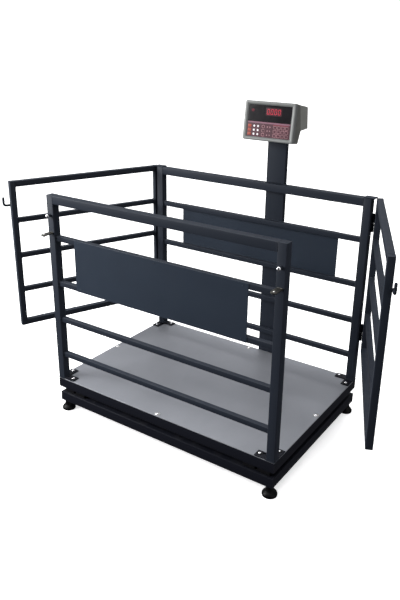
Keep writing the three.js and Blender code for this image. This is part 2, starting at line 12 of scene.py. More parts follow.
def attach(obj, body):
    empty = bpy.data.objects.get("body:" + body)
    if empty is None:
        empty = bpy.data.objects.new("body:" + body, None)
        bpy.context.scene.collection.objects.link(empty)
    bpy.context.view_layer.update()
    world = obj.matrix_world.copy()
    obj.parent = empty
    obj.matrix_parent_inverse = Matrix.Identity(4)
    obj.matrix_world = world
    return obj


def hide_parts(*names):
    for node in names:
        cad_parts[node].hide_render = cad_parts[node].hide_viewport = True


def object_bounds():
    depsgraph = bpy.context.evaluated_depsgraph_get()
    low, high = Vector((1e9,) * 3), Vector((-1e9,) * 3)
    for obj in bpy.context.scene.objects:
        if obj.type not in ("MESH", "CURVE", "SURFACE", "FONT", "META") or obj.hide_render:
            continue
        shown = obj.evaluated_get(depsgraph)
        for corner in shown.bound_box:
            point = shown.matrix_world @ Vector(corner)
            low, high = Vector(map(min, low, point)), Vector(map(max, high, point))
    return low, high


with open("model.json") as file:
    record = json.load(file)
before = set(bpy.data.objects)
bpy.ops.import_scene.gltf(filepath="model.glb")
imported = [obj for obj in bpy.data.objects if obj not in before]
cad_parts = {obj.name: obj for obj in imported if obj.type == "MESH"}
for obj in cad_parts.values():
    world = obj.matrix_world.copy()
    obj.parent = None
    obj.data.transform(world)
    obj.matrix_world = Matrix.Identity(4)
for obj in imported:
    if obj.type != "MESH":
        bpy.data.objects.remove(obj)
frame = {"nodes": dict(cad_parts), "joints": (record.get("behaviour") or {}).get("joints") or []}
CAD_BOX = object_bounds()
NODES = frame["nodes"]
JOINTS = {joint["name"]: joint for joint in frame["joints"]}

MM = 0.001
GAP = 0.3 * MM
STILL = Matrix.Identity(4)
SIDES = (("front", -1), ("back", 1))
ENDS = (("left", -1), ("right", 1))
CORNERS = [(f"{side}_{end}", sx, sy) for side, sy in SIDES for end, sx in ENDS]
THICK_WALL = 2 * MM


# Reading the CAD ----------------------------------------
def box_in(node, place=STILL):
    """Lowest and highest corner of a CAD node, seen from a frame that is placed by a matrix."""
    back = place.inverted()
    points = [back @ vertex.co for vertex in NODES[node].data.vertices]
    low = Vector([min(point[axis] for point in points) for axis in range(3)])
    high = Vector([max(point[axis] for point in points) for axis in range(3)])
    return low, high


def stretches(node, place, picked, apart=0.1):
    """Height spans of the corners of a CAD node that picked() takes, split where they lie apart."""
    back = place.inverted()
    points = [back @ vertex.co for vertex in NODES[node].data.vertices]
    heights = sorted(point.z for point in points if picked(point))
    spans = [[heights[0], heights[0]]]
    for height in heights:
        if height - spans[-1][1] > apart:
            spans.append([height, height])
        spans[-1][1] = height
    return spans


def gate_place(side):
    """The frame of a gate: its origin on the hinge axis at deck height, its -Y along the closed gate."""
    joint = JOINTS[f"gate_{side}_hinge"]
    turn = math.radians(-joint["range_deg"][0]) * joint["axis"][2]
    x, y, _ = joint["pos_m"]
    return Matrix.Translation((x, y, 0)) @ Matrix.Rotation(turn, 4, "Z")


# The indicator leans back at rest. Its pieces are made in its own frame: pivot at the origin, upright.
INDICATOR_TILT = math.radians(7.1)
INDICATOR_PLACE = Matrix.Translation(JOINTS["indicator_tilt"]["pos_m"]) @ Matrix.Rotation(
    -INDICATOR_TILT, 4, "X"
)


# Materials ----------------------------------------
def start_material(name):
    material = bpy.data.materials.new(name)
    material.use_nodes = True
    tree = material.node_tree
    where = tree.nodes.new("ShaderNodeTexCoord").outputs["Object"]
    return material, tree, tree.nodes["Principled BSDF"], where


def feed(tree, node, **sources):
    """Gives a node's inputs their sockets or plain values. An underscore stands for a space."""
    for name, source in sources.items():
        target = node.inputs[name.replace("_", " ")]
        if isinstance(source, bpy.types.NodeSocket):
            tree.links.new(source, target)
        else:
            target.default_value = source


def add_node(tree, kind, **sources):
    node = tree.nodes.new(f"ShaderNode{kind}")
    feed(tree, node, **sources)
    return node


def noise(tree, where, scale, detail=3.0, stretch=None):
    if stretch:
        where = add_node(tree, "Mapping", Vector=where, Scale=stretch).outputs["Vector"]
    return add_node(tree, "TexNoise", Vector=where, Scale=scale, Detail=detail).outputs["Fac"]


def cells(tree, where, scale):
    return add_node(tree, "TexVoronoi", Vector=where, Scale=scale).outputs["Distance"]


def spread(tree, value, low, high, start=0.3, end=0.7):
    """A value between start and end, spread over low to high."""
    node = add_node(tree, "MapRange", Value=value, From_Min=start, From_Max=end)
    feed(tree, node, To_Min=low, To_Max=high)
    return node.outputs["Result"]


def blend(tree, factor, first, second):
    """A colour between two colours; each is a colour socket or three numbers."""
    node = tree.nodes.new("ShaderNodeMix")
    node.data_type = "RGBA"
    tree.links.new(factor, node.inputs["Factor"])
    for name, colour in (("A", first), ("B", second)):
        socket = next(s for s in node.inputs if s.name == name and s.type == "RGBA")
        if isinstance(colour, bpy.types.NodeSocket):
            tree.links.new(colour, socket)
        else:
            socket.default_value = (*colour, 1)
    return next(s for s in node.outputs if s.type == "RGBA")


def pair(tree, kind, operation, first, second):
    """A node that works on two values or two directions."""
    node = add_node(tree, kind)
    node.operation = operation
    tree.links.new(first, node.inputs[0])
    if isinstance(second, bpy.types.NodeSocket):
        tree.links.new(second, node.inputs[1])
    else:
        node.inputs[1].default_value = second
    return node


def times(tree, first, second):
    return pair(tree, "Math", "MULTIPLY", first, second).outputs[0]


def likeness(tree, first, second):
    """1 where two directions agree, 0 where they are square to each other."""
    return pair(tree, "VectorMath", "DOT_PRODUCT", first, second).outputs["Value"]


def bumps(tree, shader, *layers):
    """Layers of relief, each a height and its depth in metres, on one shader."""
    normal = None
    for height, depth in layers:
        node = add_node(tree, "Bump", Strength=1, Distance=depth, Height=height)
        if normal:
            feed(tree, node, Normal=normal)
        normal = node.outputs["Normal"]
    feed(tree, shader, Normal=normal)


def upward(tree):
    """0 on walls and undersides, 1 on faces that look up."""
    normal = add_node(tree, "NewGeometry").outputs["Normal"]
    height = add_node(tree, "SeparateXYZ", Vector=normal).outputs["Z"]
    return spread(tree, height, 0, 1, 0.4, 1)


def edges(tree):
    """0 on flat faces, towards 1 near edges, where a rounded normal turns away from the face's own."""
    rounded = add_node(tree, "Bevel", Radius=1.2 * MM)
    rounded.samples = 4
    flat = add_node(tree, "NewGeometry").outputs["Normal"]
    return spread(tree, likeness(tree, rounded.outputs["Normal"], flat), 0, 1, 0.98, 0.86)


def shaded(colour, factor):
    return tuple(channel * factor for channel in colour)


def drifting(tree, where, colour, scale, swing):
    """A colour that drifts over a piece, by a swing darker and lighter."""
    drift = spread(tree, noise(tree, where, scale), 0, 1)
    return blend(tree, drift, shaded(colour, 1 - swing), shaded(colour, 1 + swing))


def highlight_edges(tree, where, body, highlight_colour, scale, detail, most):
    """A body colour that turns towards a lighter one in patches along the edges: a painted highlight where
    rounded edges catch the light.
    """
    edge_highlight = times(tree, edges(tree), spread(tree, noise(tree, where, scale, detail), 0, most))
    return blend(tree, edge_highlight, body, highlight_colour)


DUST = (0.2, 0.19, 0.18)
# Lighter colour laid along the powder coat's edges as a painted highlight.
EDGE_HIGHLIGHT = (0.1, 0.105, 0.115)
# Depths of relief. A noise's scale is about how many times it repeats in a metre.
GRIT_RELIEF = 0.006 * MM
FILM_RELIEF = 0.01 * MM
FINE_RELIEF = 0.03 * MM
SHEET_WAVES = 0.9 * MM


def powder_coat(name, colour, roughness, shine):
    """Satin powder coat: orange peel, slow colour drift, a trace of dust on top, and a painted highlight
    in patches along the edges.
    """
    material, tree, shader, where = start_material(name)
    body = drifting(tree, where, colour, 5, 0.05)
    specks = spread(tree, noise(tree, where, 24, 6), 0, 0.05, 0.45, 0.8)
    dusty = blend(tree, times(tree, upward(tree), specks), body, DUST)
    coat = highlight_edges(tree, where, dusty, EDGE_HIGHLIGHT, 90, 4, 0.3)
    patches = spread(tree, noise(tree, where, 14, 5), roughness - 0.02, roughness + 0.03)
    feed(tree, shader, Base_Color=coat, Roughness=patches, Specular_IOR_Level=shine)
    peel = noise(tree, where, 420, 2)
    grit = noise(tree, where, 1500, 1)
    bumps(tree, shader, (peel, FINE_RELIEF), (grit, GRIT_RELIEF))
    return material


def sheet_steel(name, colour):
    """Rolled steel sheet: fine grain along its length, dull patches, scuffs from hooves and boots."""
    material, tree, shader, where = start_material(name)
    grain = noise(tree, where, 30, 4, stretch=(1.2, 26, 26))
    patches = noise(tree, where, 3.2, 5)
    scuffs = noise(tree, where, 16, 6, stretch=(1, 0.5, 1))
    body = blend(tree, spread(tree, patches, 0, 1), shaded(colour, 0.95), shaded(colour, 1.06))
    grained = blend(tree, spread(tree, grain, 0, 0.35), body, shaded(colour, 0.86))
    marked = blend(tree, spread(tree, scuffs, 0, 0.22, 0.56, 0.75), grained, shaded(colour, 0.82))
    gloss = spread(tree, patches, 0.36, 0.44)
    feed(tree, shader, Base_Color=marked, Roughness=gloss, Metallic=0.45, Specular_IOR_Level=0.25)
    bumps(tree, shader, (grain, FINE_RELIEF), (patches, SHEET_WAVES))
    return material


def plated_steel(name, colour, roughness):
    """Bright plated steel: faint spangle and handling marks."""
    material, tree, shader, where = start_material(name)
    spangle = spread(tree, cells(tree, where, 420), 0, 1, 0, 0.8)
    plate = blend(tree, spangle, shaded(colour, 0.85), colour)
    marks = spread(tree, noise(tree, where, 130, 4), roughness, roughness + 0.16)
    feed(tree, shader, Base_Color=plate, Roughness=marks, Metallic=1)
    bumps(tree, shader, (noise(tree, where, 700, 2), FINE_RELIEF))
    return material


def moulded(name, colour, roughness, grain=900, depth=0.06 * MM, shine=0.5):
    """Moulded plastic or rubber: fine spark-eroded texture and a slow drift of colour and gloss."""
    material, tree, shader, where = start_material(name)
    body = drifting(tree, where, colour, 22, 0.1)
    # Lighter colour in patches along the edges: a painted highlight.
    skin = highlight_edges(tree, where, body, shaded(colour, 1.5), 150, 3, 0.15)
    patches = spread(tree, noise(tree, where, 45), roughness - 0.05, roughness + 0.08)
    feed(tree, shader, Base_Color=skin, Roughness=patches, Specular_IOR_Level=shine)
    bumps(tree, shader, (noise(tree, where, grain, 2), depth))
    return material


def glossy_film(name, colour, roughness, shine=0.5):
    """Smooth printed film or window: faint waviness, smears that change only the gloss."""
    material, tree, shader, where = start_material(name)
    body = drifting(tree, where, colour, 30, 0.18)
    smears = noise(tree, where, 60, 5, stretch=(1, 1, 0.3))
    gloss = spread(tree, smears, roughness, roughness + 0.03)
    feed(tree, shader, Base_Color=body, Roughness=gloss, Specular_IOR_Level=shine)
    bumps(tree, shader, (noise(tree, where, 60, 2), FILM_RELIEF))
    return material


def glowing(name, colour, strength):
    """A lit segment: bright middle, slightly uneven glow."""
    material, tree, shader, where = start_material(name)
    uneven = spread(tree, noise(tree, where, 300), 0, 1)
    light = blend(tree, uneven, shaded(colour, 0.8), colour)
    dull = blend(tree, uneven, shaded(colour, 0.1), shaded(colour, 0.16))
    feed(tree, shader, Emission_Color=light, Emission_Strength=strength)
    feed(tree, shader, Base_Color=dull, Roughness=0.5, Specular_IOR_Level=0.2)
    return material


PAINT = powder_coat("blue black powder coat", (0.022, 0.03, 0.044), 0.36, 0.24)
FRAME_PAINT = powder_coat("black powder coat", (0.0065, 0.0072, 0.0115), 0.5, 0.12)
# The plates' blue-black paint, darkened on the tubes as painted shade.
SHADED_TUBE_PAINT = powder_coat("blue-black paint darkened for shade", (0.0185, 0.0228, 0.032), 0.46, 0.1)
DECK_STEEL = sheet_steel("rolled deck steel", (0.222, 0.23, 0.252))
ZINC = plated_steel("zinc plated steel", (0.6, 0.59, 0.57), 0.28)
CHROME = plated_steel("polished steel", (0.72, 0.72, 0.74), 0.12)
BLACK_ZINC = plated_steel("black plated steel", (0.02, 0.02, 0.022), 0.4)
DULL_ZINC = plated_steel("dull plated steel", (0.09, 0.088, 0.08), 0.42)
# Load cell metal made near black so the gap between the frames reads dark: painted shade.
SHADED_CELL_METAL = plated_steel("load cell alloy darkened for shade", (0.045, 0.045, 0.05), 0.35)
RUBBER = moulded("black rubber", (0.003, 0.003, 0.0034), 0.42, 500, 0.05 * MM, 0.1)
PALE_PLASTIC = moulded("pale grey green plastic", (0.155, 0.162, 0.158), 0.42, shine=0.4)
DARK_PLASTIC = moulded("dark olive plastic", (0.145, 0.145, 0.132), 0.5, shine=0.3)
# The housing's plastic made lighter for the rear case and ribs: painted light on the side the light falls
# on.
LIT_HOUSING_PLASTIC = moulded("housing plastic lightened for light", (0.28, 0.28, 0.258), 0.5, shine=0.3)
WINDOW = glossy_film("smoked window", (0.013, 0.012, 0.014), 0.12, 0.12)
FILTER = glossy_film("dark red display filter", (0.045, 0.004, 0.011), 0.2, 0.2)
KEYPAD = glossy_film("maroon keypad film", (0.056, 0.009, 0.02), 0.4, 0.2)
KEYPAD_STRIP = glossy_film("mauve keypad strip", (0.21, 0.09, 0.13), 0.4, 0.2)
RED_STRIP = glossy_film("red keypad strip", (0.2, 0.025, 0.045), 0.4, 0.2)
ORANGE_KEY = glossy_film("orange red keys", (0.31, 0.046, 0.022), 0.4, 0.2)
WHITE_KEY = glossy_film("white keys", (0.85, 0.8, 0.82), 0.4, 0.3)
ROSE_KEY = glossy_film("rose key outlines", (0.42, 0.21, 0.23), 0.4, 0.2)
BOARD = moulded("green circuit board", (0.015, 0.1, 0.04), 0.4)
LIT = glowing("lit red segment", (0.9, 0.008, 0.05), 0.85)
DIM = glowing("dim red mark", (0.4, 0.008, 0.05), 0.6)
UNLIT = glossy_film("unlit segment", (0.045, 0.008, 0.014), 0.3, 0.2)


# Mesh building ----------------------------------------
AXIS_ORDER = {"x": (1, 2, 0), "y": (2, 0, 1), "z": (0, 1, 2)}


def at(axis, u, v, w):
    """A point whose w runs along the named axis, and u and v across it."""
    point = [0, 0, 0]
    for value, index in zip((u, v, w), AXIS_ORDER[axis]):
        point[index] = value
    return Vector(point)


def loft(bm, rings, closed=False, caps=True):
    """Skins a row of rings that have the same number of points."""
    rows = [[bm.verts.new(point) for point in ring] for ring in rings]
    count = len(rows[0])
    pairs = list(zip(rows, rows[1:] + rows[:1])) if closed else list(zip(rows, rows[1:]))
    for row, following in pairs:
        for i in range(count):
            j = (i + 1) % count
            bm.faces.new((row[i], row[j], following[j], following[i]))
    if caps and not closed:
        bm.faces.new(rows[0][::-1])
        bm.faces.new(rows[-1])


QUARTERS = ((1, 1), (-1, 1), (-1, -1), (1, -1))


def rounded_rectangle(half_u, half_v, radius, steps=4):
    points = []
    for quarter, (su, sv) in enumerate(QUARTERS):
        for step in range(steps + 1):
            angle = (quarter + step / steps) * math.pi / 2
            u = su * (half_u - radius) + radius * math.cos(angle)
            v = sv * (half_v - radius) + radius * math.sin(angle)
            points.append((u, v))
    return points


def arc(radius, start, end, steps, u=0, v=0):
    """Points of a circle round (u, v) from one angle to another."""
    points = []
    for step in range(steps + 1):
        angle = start + (end - start) * step / steps
        points.append((u + radius * math.cos(angle), v + radius * math.sin(angle)))
    return points


def linked(name, data):
    """A new object in the scene."""
    obj = bpy.data.objects.new(name, data)
    bpy.context.scene.collection.objects.link(obj)
    return obj


def finished(bm, name, material, body, slot, stands_for=(), place=STILL, bevel=0.0, smooth=38):
    """Turns a mesh under construction into a piece that rides on a body."""
    bmesh.ops.recalc_face_normals(bm, faces=bm.faces)
    mesh = bpy.data.meshes.new(name)
    bm.to_mesh(mesh)
    bm.free()
    mesh.transform(place)
    mesh.materials.append(material)
    mesh.shade_smooth()
    mesh.set_sharp_from_angle(angle=math.radians(smooth))
    piece = linked(name, mesh)
    if bevel:
        modifier = piece.modifiers.new("soft edges", "BEVEL")
        modifier.width = bevel
        modifier.segments = 3
        modifier.limit_method = "ANGLE"
        modifier.angle_limit = math.radians(35)
        modifier.use_clamp_overlap = True
    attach(piece, body)
    if stands_for:
        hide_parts(*stands_for)


def add_box(bm, low, high):
    ring = ((low[0], low[1]), (high[0], low[1]), (high[0], high[1]), (low[0], high[1]))
    loft(bm, [[Vector((x, y, z)) for x, y in ring] for z in (low[2], high[2])])


def add_prism(bm, axis, outline, start, end):
    """A straight solid with an outline of (u, v) points, along an axis."""
    loft(bm, [[at(axis, u, v, w) for u, v in outline] for w in (start, end)])


EDGE = 0.5 * MM


def section(axis, low, high):
    """Half width, half depth and middle of a box, seen along an axis."""
    iu, iv, _ = AXIS_ORDER[axis]
    half, middle = (high - low) / 2, (high + low) / 2
    return half[iu], half[iv], middle[iu], middle[iv]


def add_tube(bm, axis, low, high, wall, corner, capped=False):
    """A hollow square tube in a box, with round corners. A capped one is closed at its upper end."""
    half_u, half_v, cu, cv = section(axis, low, high)
    iw = AXIS_ORDER[axis][2]
    start, end = low[iw], high[iw]

    def ring(shrink, w):
        radius = max(corner - shrink, 0.3 * MM)
        outline = rounded_rectangle(half_u - shrink, half_v - shrink, radius)
        return [at(axis, cu + u, cv + v, w) for u, v in outline]

    rings = [ring(wall, start), ring(EDGE, start), ring(0, start + EDGE)]
    if capped:
        rings.insert(0, ring(wall, end - wall))
        rings += [ring(0, end - 2 * EDGE), ring(0.6 * EDGE, end - 0.6 * EDGE), ring(2 * EDGE, end)]
    else:
        rings += [ring(0, end - EDGE), ring(EDGE, end), ring(wall, end)]
    loft(bm, rings, closed=not capped)


RIPPLE = 2.2 * MM
BURIED = 0.4 * MM
LOOP_SWELL = 0.16
# The higher, the nearer to a corner a bead's outward direction stays square to its side.
SQUARE_TURN = 7


def add_weld_loop(bm, axis, low, high, at_end, corner, along, out):
    """A rippled weld bead round the end of a tube, where it meets a face.

    along is its reach up the tube, and out its reach over the face.
    """
    half_u, half_v, cu, cv = section(axis, low, high)
    iw = AXIS_ORDER[axis][2]
    face, inward = (high[iw], -1) if at_end else (low[iw], 1)
    outline = rounded_rectangle(half_u, half_v, corner, 2)
    per_side = max(3, int((half_u + half_v) / RIPPLE * 2))
    rings = []
    for (u0, v0), (u1, v1) in zip(outline, outline[1:] + outline[:1]):
        steps = per_side if math.hypot(u1 - u0, v1 - v0) > 2 * corner else 1
        for step in range(steps):
            t = step / steps
            u, v = u0 + t * (u1 - u0), v0 + t * (v1 - v0)
            nu, nv = (u / half_u) ** SQUARE_TURN, (v / half_v) ** SQUARE_TURN
            scale = math.hypot(nu, nv)
            nu, nv = nu / scale, nv / scale
            swell = 1 + LOOP_SWELL * math.cos(len(rings) * math.pi)
            a, o = along * swell, out * swell
            crown = ((0.38 * o, 0.7 * a), (0.75 * o, 0.36 * a))
            bead = ((-BURIED, a), *crown, (o, -GAP), (-BURIED, -GAP))
            rings.append(
                [at(axis, cu + u + nu * d, cv + v + nv * d, face + inward * h) for d, h in bead]
            )
    loft(bm, rings, closed=True)


def add_welded_tube(bm, axis, low, high, style):
    """A straight tube with a weld bead round each end."""
    wall, corner, along, out = style
    add_tube(bm, axis, low, high, wall, corner)
    for at_end in (False, True):
        add_weld_loop(bm, axis, low, high, at_end, corner, along, out)


BEAD_SWELL = 0.14
BEAD_SECTION = ((-0.2, -0.2), (1, -0.2), (0.72, 0.4), (0.4, 0.72), (-0.2, 1))


def add_bead(bm, start, end, side_a, side_b, size):
    """A straight rippled fillet bead from start to end, in the corner between two directions."""
    start, end, a, b = Vector(start), Vector(end), Vector(side_a), Vector(side_b)
    steps = max(4, int((end - start).length / RIPPLE * 2))
    rings = []
    for step in range(steps + 1):
        t = step / steps
        taper = min(1, 5 * t + 0.25, 5 * (1 - t) + 0.25)
        s = size * taper * (1 + BEAD_SWELL * math.cos(step * math.pi))
        centre = start.lerp(end, t)
        rings.append([centre + a * (s * p) + b * (s * q) for p, q in BEAD_SECTION])
    loft(bm, rings)


def add_turned(bm, centre, axis, profile, sides=28, sign=1):
    """A turned solid: (radius, height) pairs, a third value "hex" makes that ring six-sided."""
    rings = []
    for radius, height, *shape in profile:
        ring = []
        for i in range(sides):
            angle = 2 * math.pi * i / sides
            r = radius
            if shape:
                r = radius / math.cos((angle + math.pi / 6) % (math.pi / 3) - math.pi / 6)
            point = at(axis, r * math.cos(angle), r * math.sin(angle), sign * height)
            ring.append(Vector(centre) + point)
        rings.append(ring)
    loft(bm, rings)


def in_mm(*rows):
    """A turned profile given in millimetres."""
    return [(radius * MM, height * MM, *shape) for radius, height, *shape in rows]


def washer_profile(radius, thickness):
    lip = 0.3 * MM
    bore = 0.2 * radius
    rim = [(radius, 0), (radius, thickness - lip), (radius - lip, thickness)]
    return [(bore, 0), *rim, (bore, thickness)]


def dome_profile(radius, height, base=0.0):
    """A button head with a six-sided socket."""
    profile = [(0.2 * radius, base), (radius, base)]
    for cosine, sine in arc(1, 0, 0.36 * math.pi, 6):
        profile.append((radius * cosine, base + 0.25 * height + 0.75 * height * sine))
    top = profile[-1][1]
    socket = [(0.42 * radius, top, "hex"), (0.4 * radius, top - 0.45 * height, "hex")]
    return profile + socket


def hex_head_profile(half_flats, height, base=0.0):
    """A six-sided head with a chamfered crown."""
    return [
        (0.3 * half_flats, base),
        (half_flats, base, "hex"),
        (half_flats, base + 0.82 * height, "hex"),
        (0.95 * half_flats, base + height),
        (0.3 * half_flats, base + height),
    ]


def turned_piece(name, centre, axis, profile, material, body, slot, sign=1, place=STILL, **more):
    bm = bmesh.new()
    add_turned(bm, centre, axis, profile, sign=sign)
    finished(bm, name, material, body, slot, place=place, **more)


def painted(bm, name, stands_for=(), body="base", place=STILL, paint=SHADED_TUBE_PAINT, **more):
    """A painted steel piece, by default in the blue-black paint darkened as painted shade."""
    finished(bm, name, paint, body, "dark_paint", stands_for, place, **more)


def fixing(name, centre, axis, profile, sign=1, metal=ZINC, **more):
    """A turned piece of plated steel that stays on the base."""
    turned_piece(name, centre, axis, profile, metal, "base", "zinc_steel", sign, **more)


# Deck and frames ----------------------------------------
FRAME_CORNER = 3.2 * MM
# A welded tube's wall, corner radius, and reach of its beads along the tube and out over the face.
CROSS_MEMBER = (THICK_WALL, FRAME_CORNER, 3 * MM, 3 * MM)
MITRE_INSET = 1.2 * MM
MITRE_BEAD = 1.4 * MM
MITRE_END = 3 * MM


def ring_frame(name, node, crossings=()):
    """A rectangle of square tube with mitred corners, and cross members welded between its long sides."""
    low, high = box_in(node)
    tube = high.z - low.z
    half_x, half_y = high.x - tube / 2, high.y - tube / 2
    middle = (high.z + low.z) / 2
    outline = rounded_rectangle(tube / 2, tube / 2, FRAME_CORNER, 5)
    bm = bmesh.new()
    rings = []
    for sx, sy in QUARTERS:
        ring = [Vector((sx * (half_x + u), sy * (half_y + u), middle + v)) for u, v in outline]
        rings.append(ring)
    loft(bm, rings, closed=True)
    for sx, sy in QUARTERS:
        x, y = sx * (high.x - MITRE_INSET), sy * (high.y - MITRE_INSET)
        bottom, top = (x, y, low.z + MITRE_END), (x, y, high.z - MITRE_END)
        add_bead(bm, bottom, top, (0.7 * sx, 0, 0), (0, 0.7 * sy, 0), MITRE_BEAD)
    for x in crossings:
        inner = high.y - tube
        a = Vector((x - tube / 2, -inner, low.z))
        b = Vector((x + tube / 2, inner, high.z))
        add_welded_tube(bm, "y", a, b, CROSS_MEMBER)
    painted(bm, name, [node], paint=FRAME_PAINT)


def crossing_places(node):
    """Where the cross members stand: the middles between the inner edges that a frame's ring lacks."""
    low, high = box_in(node)
    tube = high.z - low.z
    inner_x, inner_y = high.x - tube, high.y - tube
    xs = set()
    for vertex in NODES[node].data.vertices:
        x, y, _ = vertex.co
        if abs(x) < inner_x - tube / 2 and abs(abs(y) - inner_y) < GAP:
            xs.add(round(x, 4))
    xs = sorted(xs)
    return [(a + b) / 2 for a, b in zip(xs, xs[1:]) if abs(b - a - tube) < MM]


# The puck's side as (distance in from its rim, height), and what stands on it as (radius, height).
PUCK_SIDE = (
    (3, 0),
    (0.8, 1),
    (0, 3.5),
    (0, 10.5),
    (0.8, 12.6),
    (2.6, 15.4),
    (5.4, 18.4),
    (9, 21.2),
    (12.4, 23.4),
)
NECK = ((20.4, 25), (19.4, 30), (18.2, 42), (17.6, 44), (15.8, 44.6))
LOCK_NUT = ((15.8, 45.2), (17.2, 45.8, "hex"), (17.2, 52, "hex"), (16.4, 52.6))
STEM = ((6, 52.6), (6, 82.6), (1, 82.6))


def levelling_feet():
    """A wide puck with a rounded shoulder, a tapered neck, a lock nut and a threaded stem."""
    for corner, _, _ in CORNERS:
        node = f"levelling_foot_{corner}"
        low, high = box_in(node)
        middle = (low + high) / 2
        puck = (high.x - low.x) / 2
        side = [(puck - inset * MM, height * MM) for inset, height in PUCK_SIDE]
        profile = [(0.2 * puck, 0), *side, *in_mm(*NECK, *LOCK_NUT, *STEM)]
        centre = (middle.x, middle.y, low.z)
        foot = f"foot_{corner}"
        turned_piece(
            f"{foot}_turned", centre, "z", profile, RUBBER, foot, "foot_rubber", stands_for=[node]
        )


DECK_CORNER = 4 * MM
DECK_EDGE = 0.6 * MM
DECK_BOLT_INSET = 17 * MM


def deck_plate():
    low, high = box_in("deck_plate")
    outline = rounded_rectangle(high.x, high.y, DECK_CORNER, 5)
    bm = bmesh.new()
    rings = []
    for inset, z in (
        (DECK_EDGE, low.z), (0, low.z + DECK_EDGE), (0, high.z - DECK_EDGE), (DECK_EDGE, high.z)
    ):
        across, along = 1 - inset / high.x, 1 - inset / high.y
        rings.append([Vector((u * across, v * along, z)) for u, v in outline])
    loft(bm, rings)
    finished(bm, "deck_sheet", DECK_STEEL, "base", "deck_steel", ["deck_plate"], smooth=30)
    x, y = high.x - DECK_BOLT_INSET, high.y - DECK_BOLT_INSET
    for number, (u, v) in enumerate(((0, -y), (0, y), (-x, 0), (x, 0)), 1):
        bolt(f"deck_bolt_{number}", (u, v, high.z), radius=8.5, washer=13)


def bolt(name, centre, axis="z", radius=7.5, washer=10.5, washer_metal=ZINC):
    """A button-head bolt on a plain washer. Its radii are in millimetres."""
    thickness = 1.5 * MM
    ring = washer_profile(washer * MM, thickness)
    fixing(f"{name}_washer", centre, axis, ring, metal=washer_metal)
    head = dome_profile(radius * MM, 5 * MM, thickness)
    fixing(f"{name}_head", centre, axis, head, metal=CHROME)


# Posts and fences ----------------------------------------
POST_CORNER = 3.2 * MM
BRACKET_WELD = 3.84 * MM
EAR_BOLT_INSET = 17 * MM
THICK_RAIL = (THICK_WALL, POST_CORNER, 3 * MM, 0.5 * MM)
THIN_RAIL = (1.6 * MM, 2.2 * MM, 2.6 * MM, 2.6 * MM)


def post_box(sx, sy):
    """A post's own box. Only the front posts have no hinge on them, so they give it for all four."""
    low, high = box_in("post_front_right")
    width = high.x - low.x
    x, y = sx * (high.x - width / 2), sy * (-low.y - width / 2)
    half = width / 2
    return Vector((x - half, y - half, low.z)), Vector((x + half, y + half, high.z))


def posts():
    for corner, sx, sy in CORNERS:
        low, high = post_box(sx, sy)
        bm = bmesh.new()
        add_tube(bm, "z", low, high, THICK_WALL, POST_CORNER, capped=True)
        add_weld_loop(bm, "z", low, high, False, POST_CORNER, 2.5 * MM, 2.2 * MM)
        _, plate = box_in(f"foot_bracket_{corner}")
        x = low.x if sx > 0 else high.x
        y = low.y if sy > 0 else high.y
        z = plate.z - 0.2 * MM
        across = (x, low.y + MM, z), (x, high.y - MM, z)
        along = (low.x + MM, y, z), (high.x - MM, y, z)
        add_bead(bm, *across, (-sx, 0, 0), (0, 0, 1), BRACKET_WELD)
        add_bead(bm, *along, (0, -sy, 0), (0, 0, 1), BRACKET_WELD)
        painted(bm, f"post_{corner}_tube", [f"post_{corner}"])


def foot_brackets():
    """An L-shaped plate under each post's inner sides, with a bolt on a black washer in each ear."""
    for corner, sx, sy in CORNERS:
        node = f"foot_bracket_{corner}"
        low, high = box_in(node)
        post_low, post_high = post_box(sx, sy)
        centre = (post_low + post_high) / 2
        near = (post_high.x - post_low.x) / 2 + GAP
        outer, reach = sorted((abs(low.x - centre.x), abs(high.x - centre.x)))
        corners = [vertex.co - centre for vertex in NODES[node].data.vertices]
        tips = [c for c in corners if abs(abs(c.x) - reach) < MM and c.y * sy < 0]
        ear = min(abs(tip.y) for tip in tips)
        outline = [
            (-near, outer), (-reach, outer), (-reach, -ear), (-ear, -ear),
            (-ear, -reach), (outer, -reach), (outer, -near), (-near, -near),
        ]
        bm = bmesh.new()
        flat = [(centre.x + sx * u, centre.y + sy * v) for u, v in outline]
        add_prism(bm, "z", flat, low.z, high.z)
        painted(bm, f"{node}_plate", [node], paint=FRAME_PAINT, bevel=1.1 * MM)
        out = EAR_BOLT_INSET - reach
        across = (outer - ear) / 2
        for ear_name, u, v in (("side", out, across), ("end", across, out)):
            spot = (centre.x + sx * u, centre.y + sy * v, high.z)
            bolt(f"{node}_{ear_name}_bolt", spot, radius=8, washer=13, washer_metal=BLACK_ZINC)


def rail(node, axis, style, body="base", place=STILL):
    bm = bmesh.new()
    add_welded_tube(bm, axis, *box_in(node, place), style)
    painted(bm, f"{node}_tube", [node], body, place)


def fences():
    for side, sign in SIDES:
        rail(f"{side}_top_rail", "x", THICK_RAIL)
        for level in ("lower", "middle", "sign_lower", "sign_upper"):
            rail(f"{side}_{level}_rail", "x", THIN_RAIL)
        sign_plate(side, sign)


RIVET_HEAD = in_mm((0.5, 0), (3.2, 0), (3, 0.7), (2.2, 1.3), (0.4, 1.6))


def sign_plate(side, sign):
    """A thin sheet held to two rails by rivets that show on its outer face."""
    node = f"{side}_sign_plate"
    low, high = box_in(node)
    bm = bmesh.new()
    add_box(bm, low, high)
    painted(bm, f"{node}_sheet", [node], paint=PAINT, bevel=0.6 * MM)
    outer = low.y if sign < 0 else high.y
    rail_low, rail_high = box_in(f"{side}_sign_upper_rail")
    from_edge = (rail_high.z - rail_low.z) / 2
    bm = bmesh.new()
    for x in (low.x + 2 * from_edge, 0, high.x - 2 * from_edge):
        for z in (low.z + from_edge, high.z - from_edge):
            add_turned(bm, (x, outer, z), "y", RIVET_HEAD, 16, sign)
    painted(bm, f"{side}_sign_rivets", paint=PAINT)


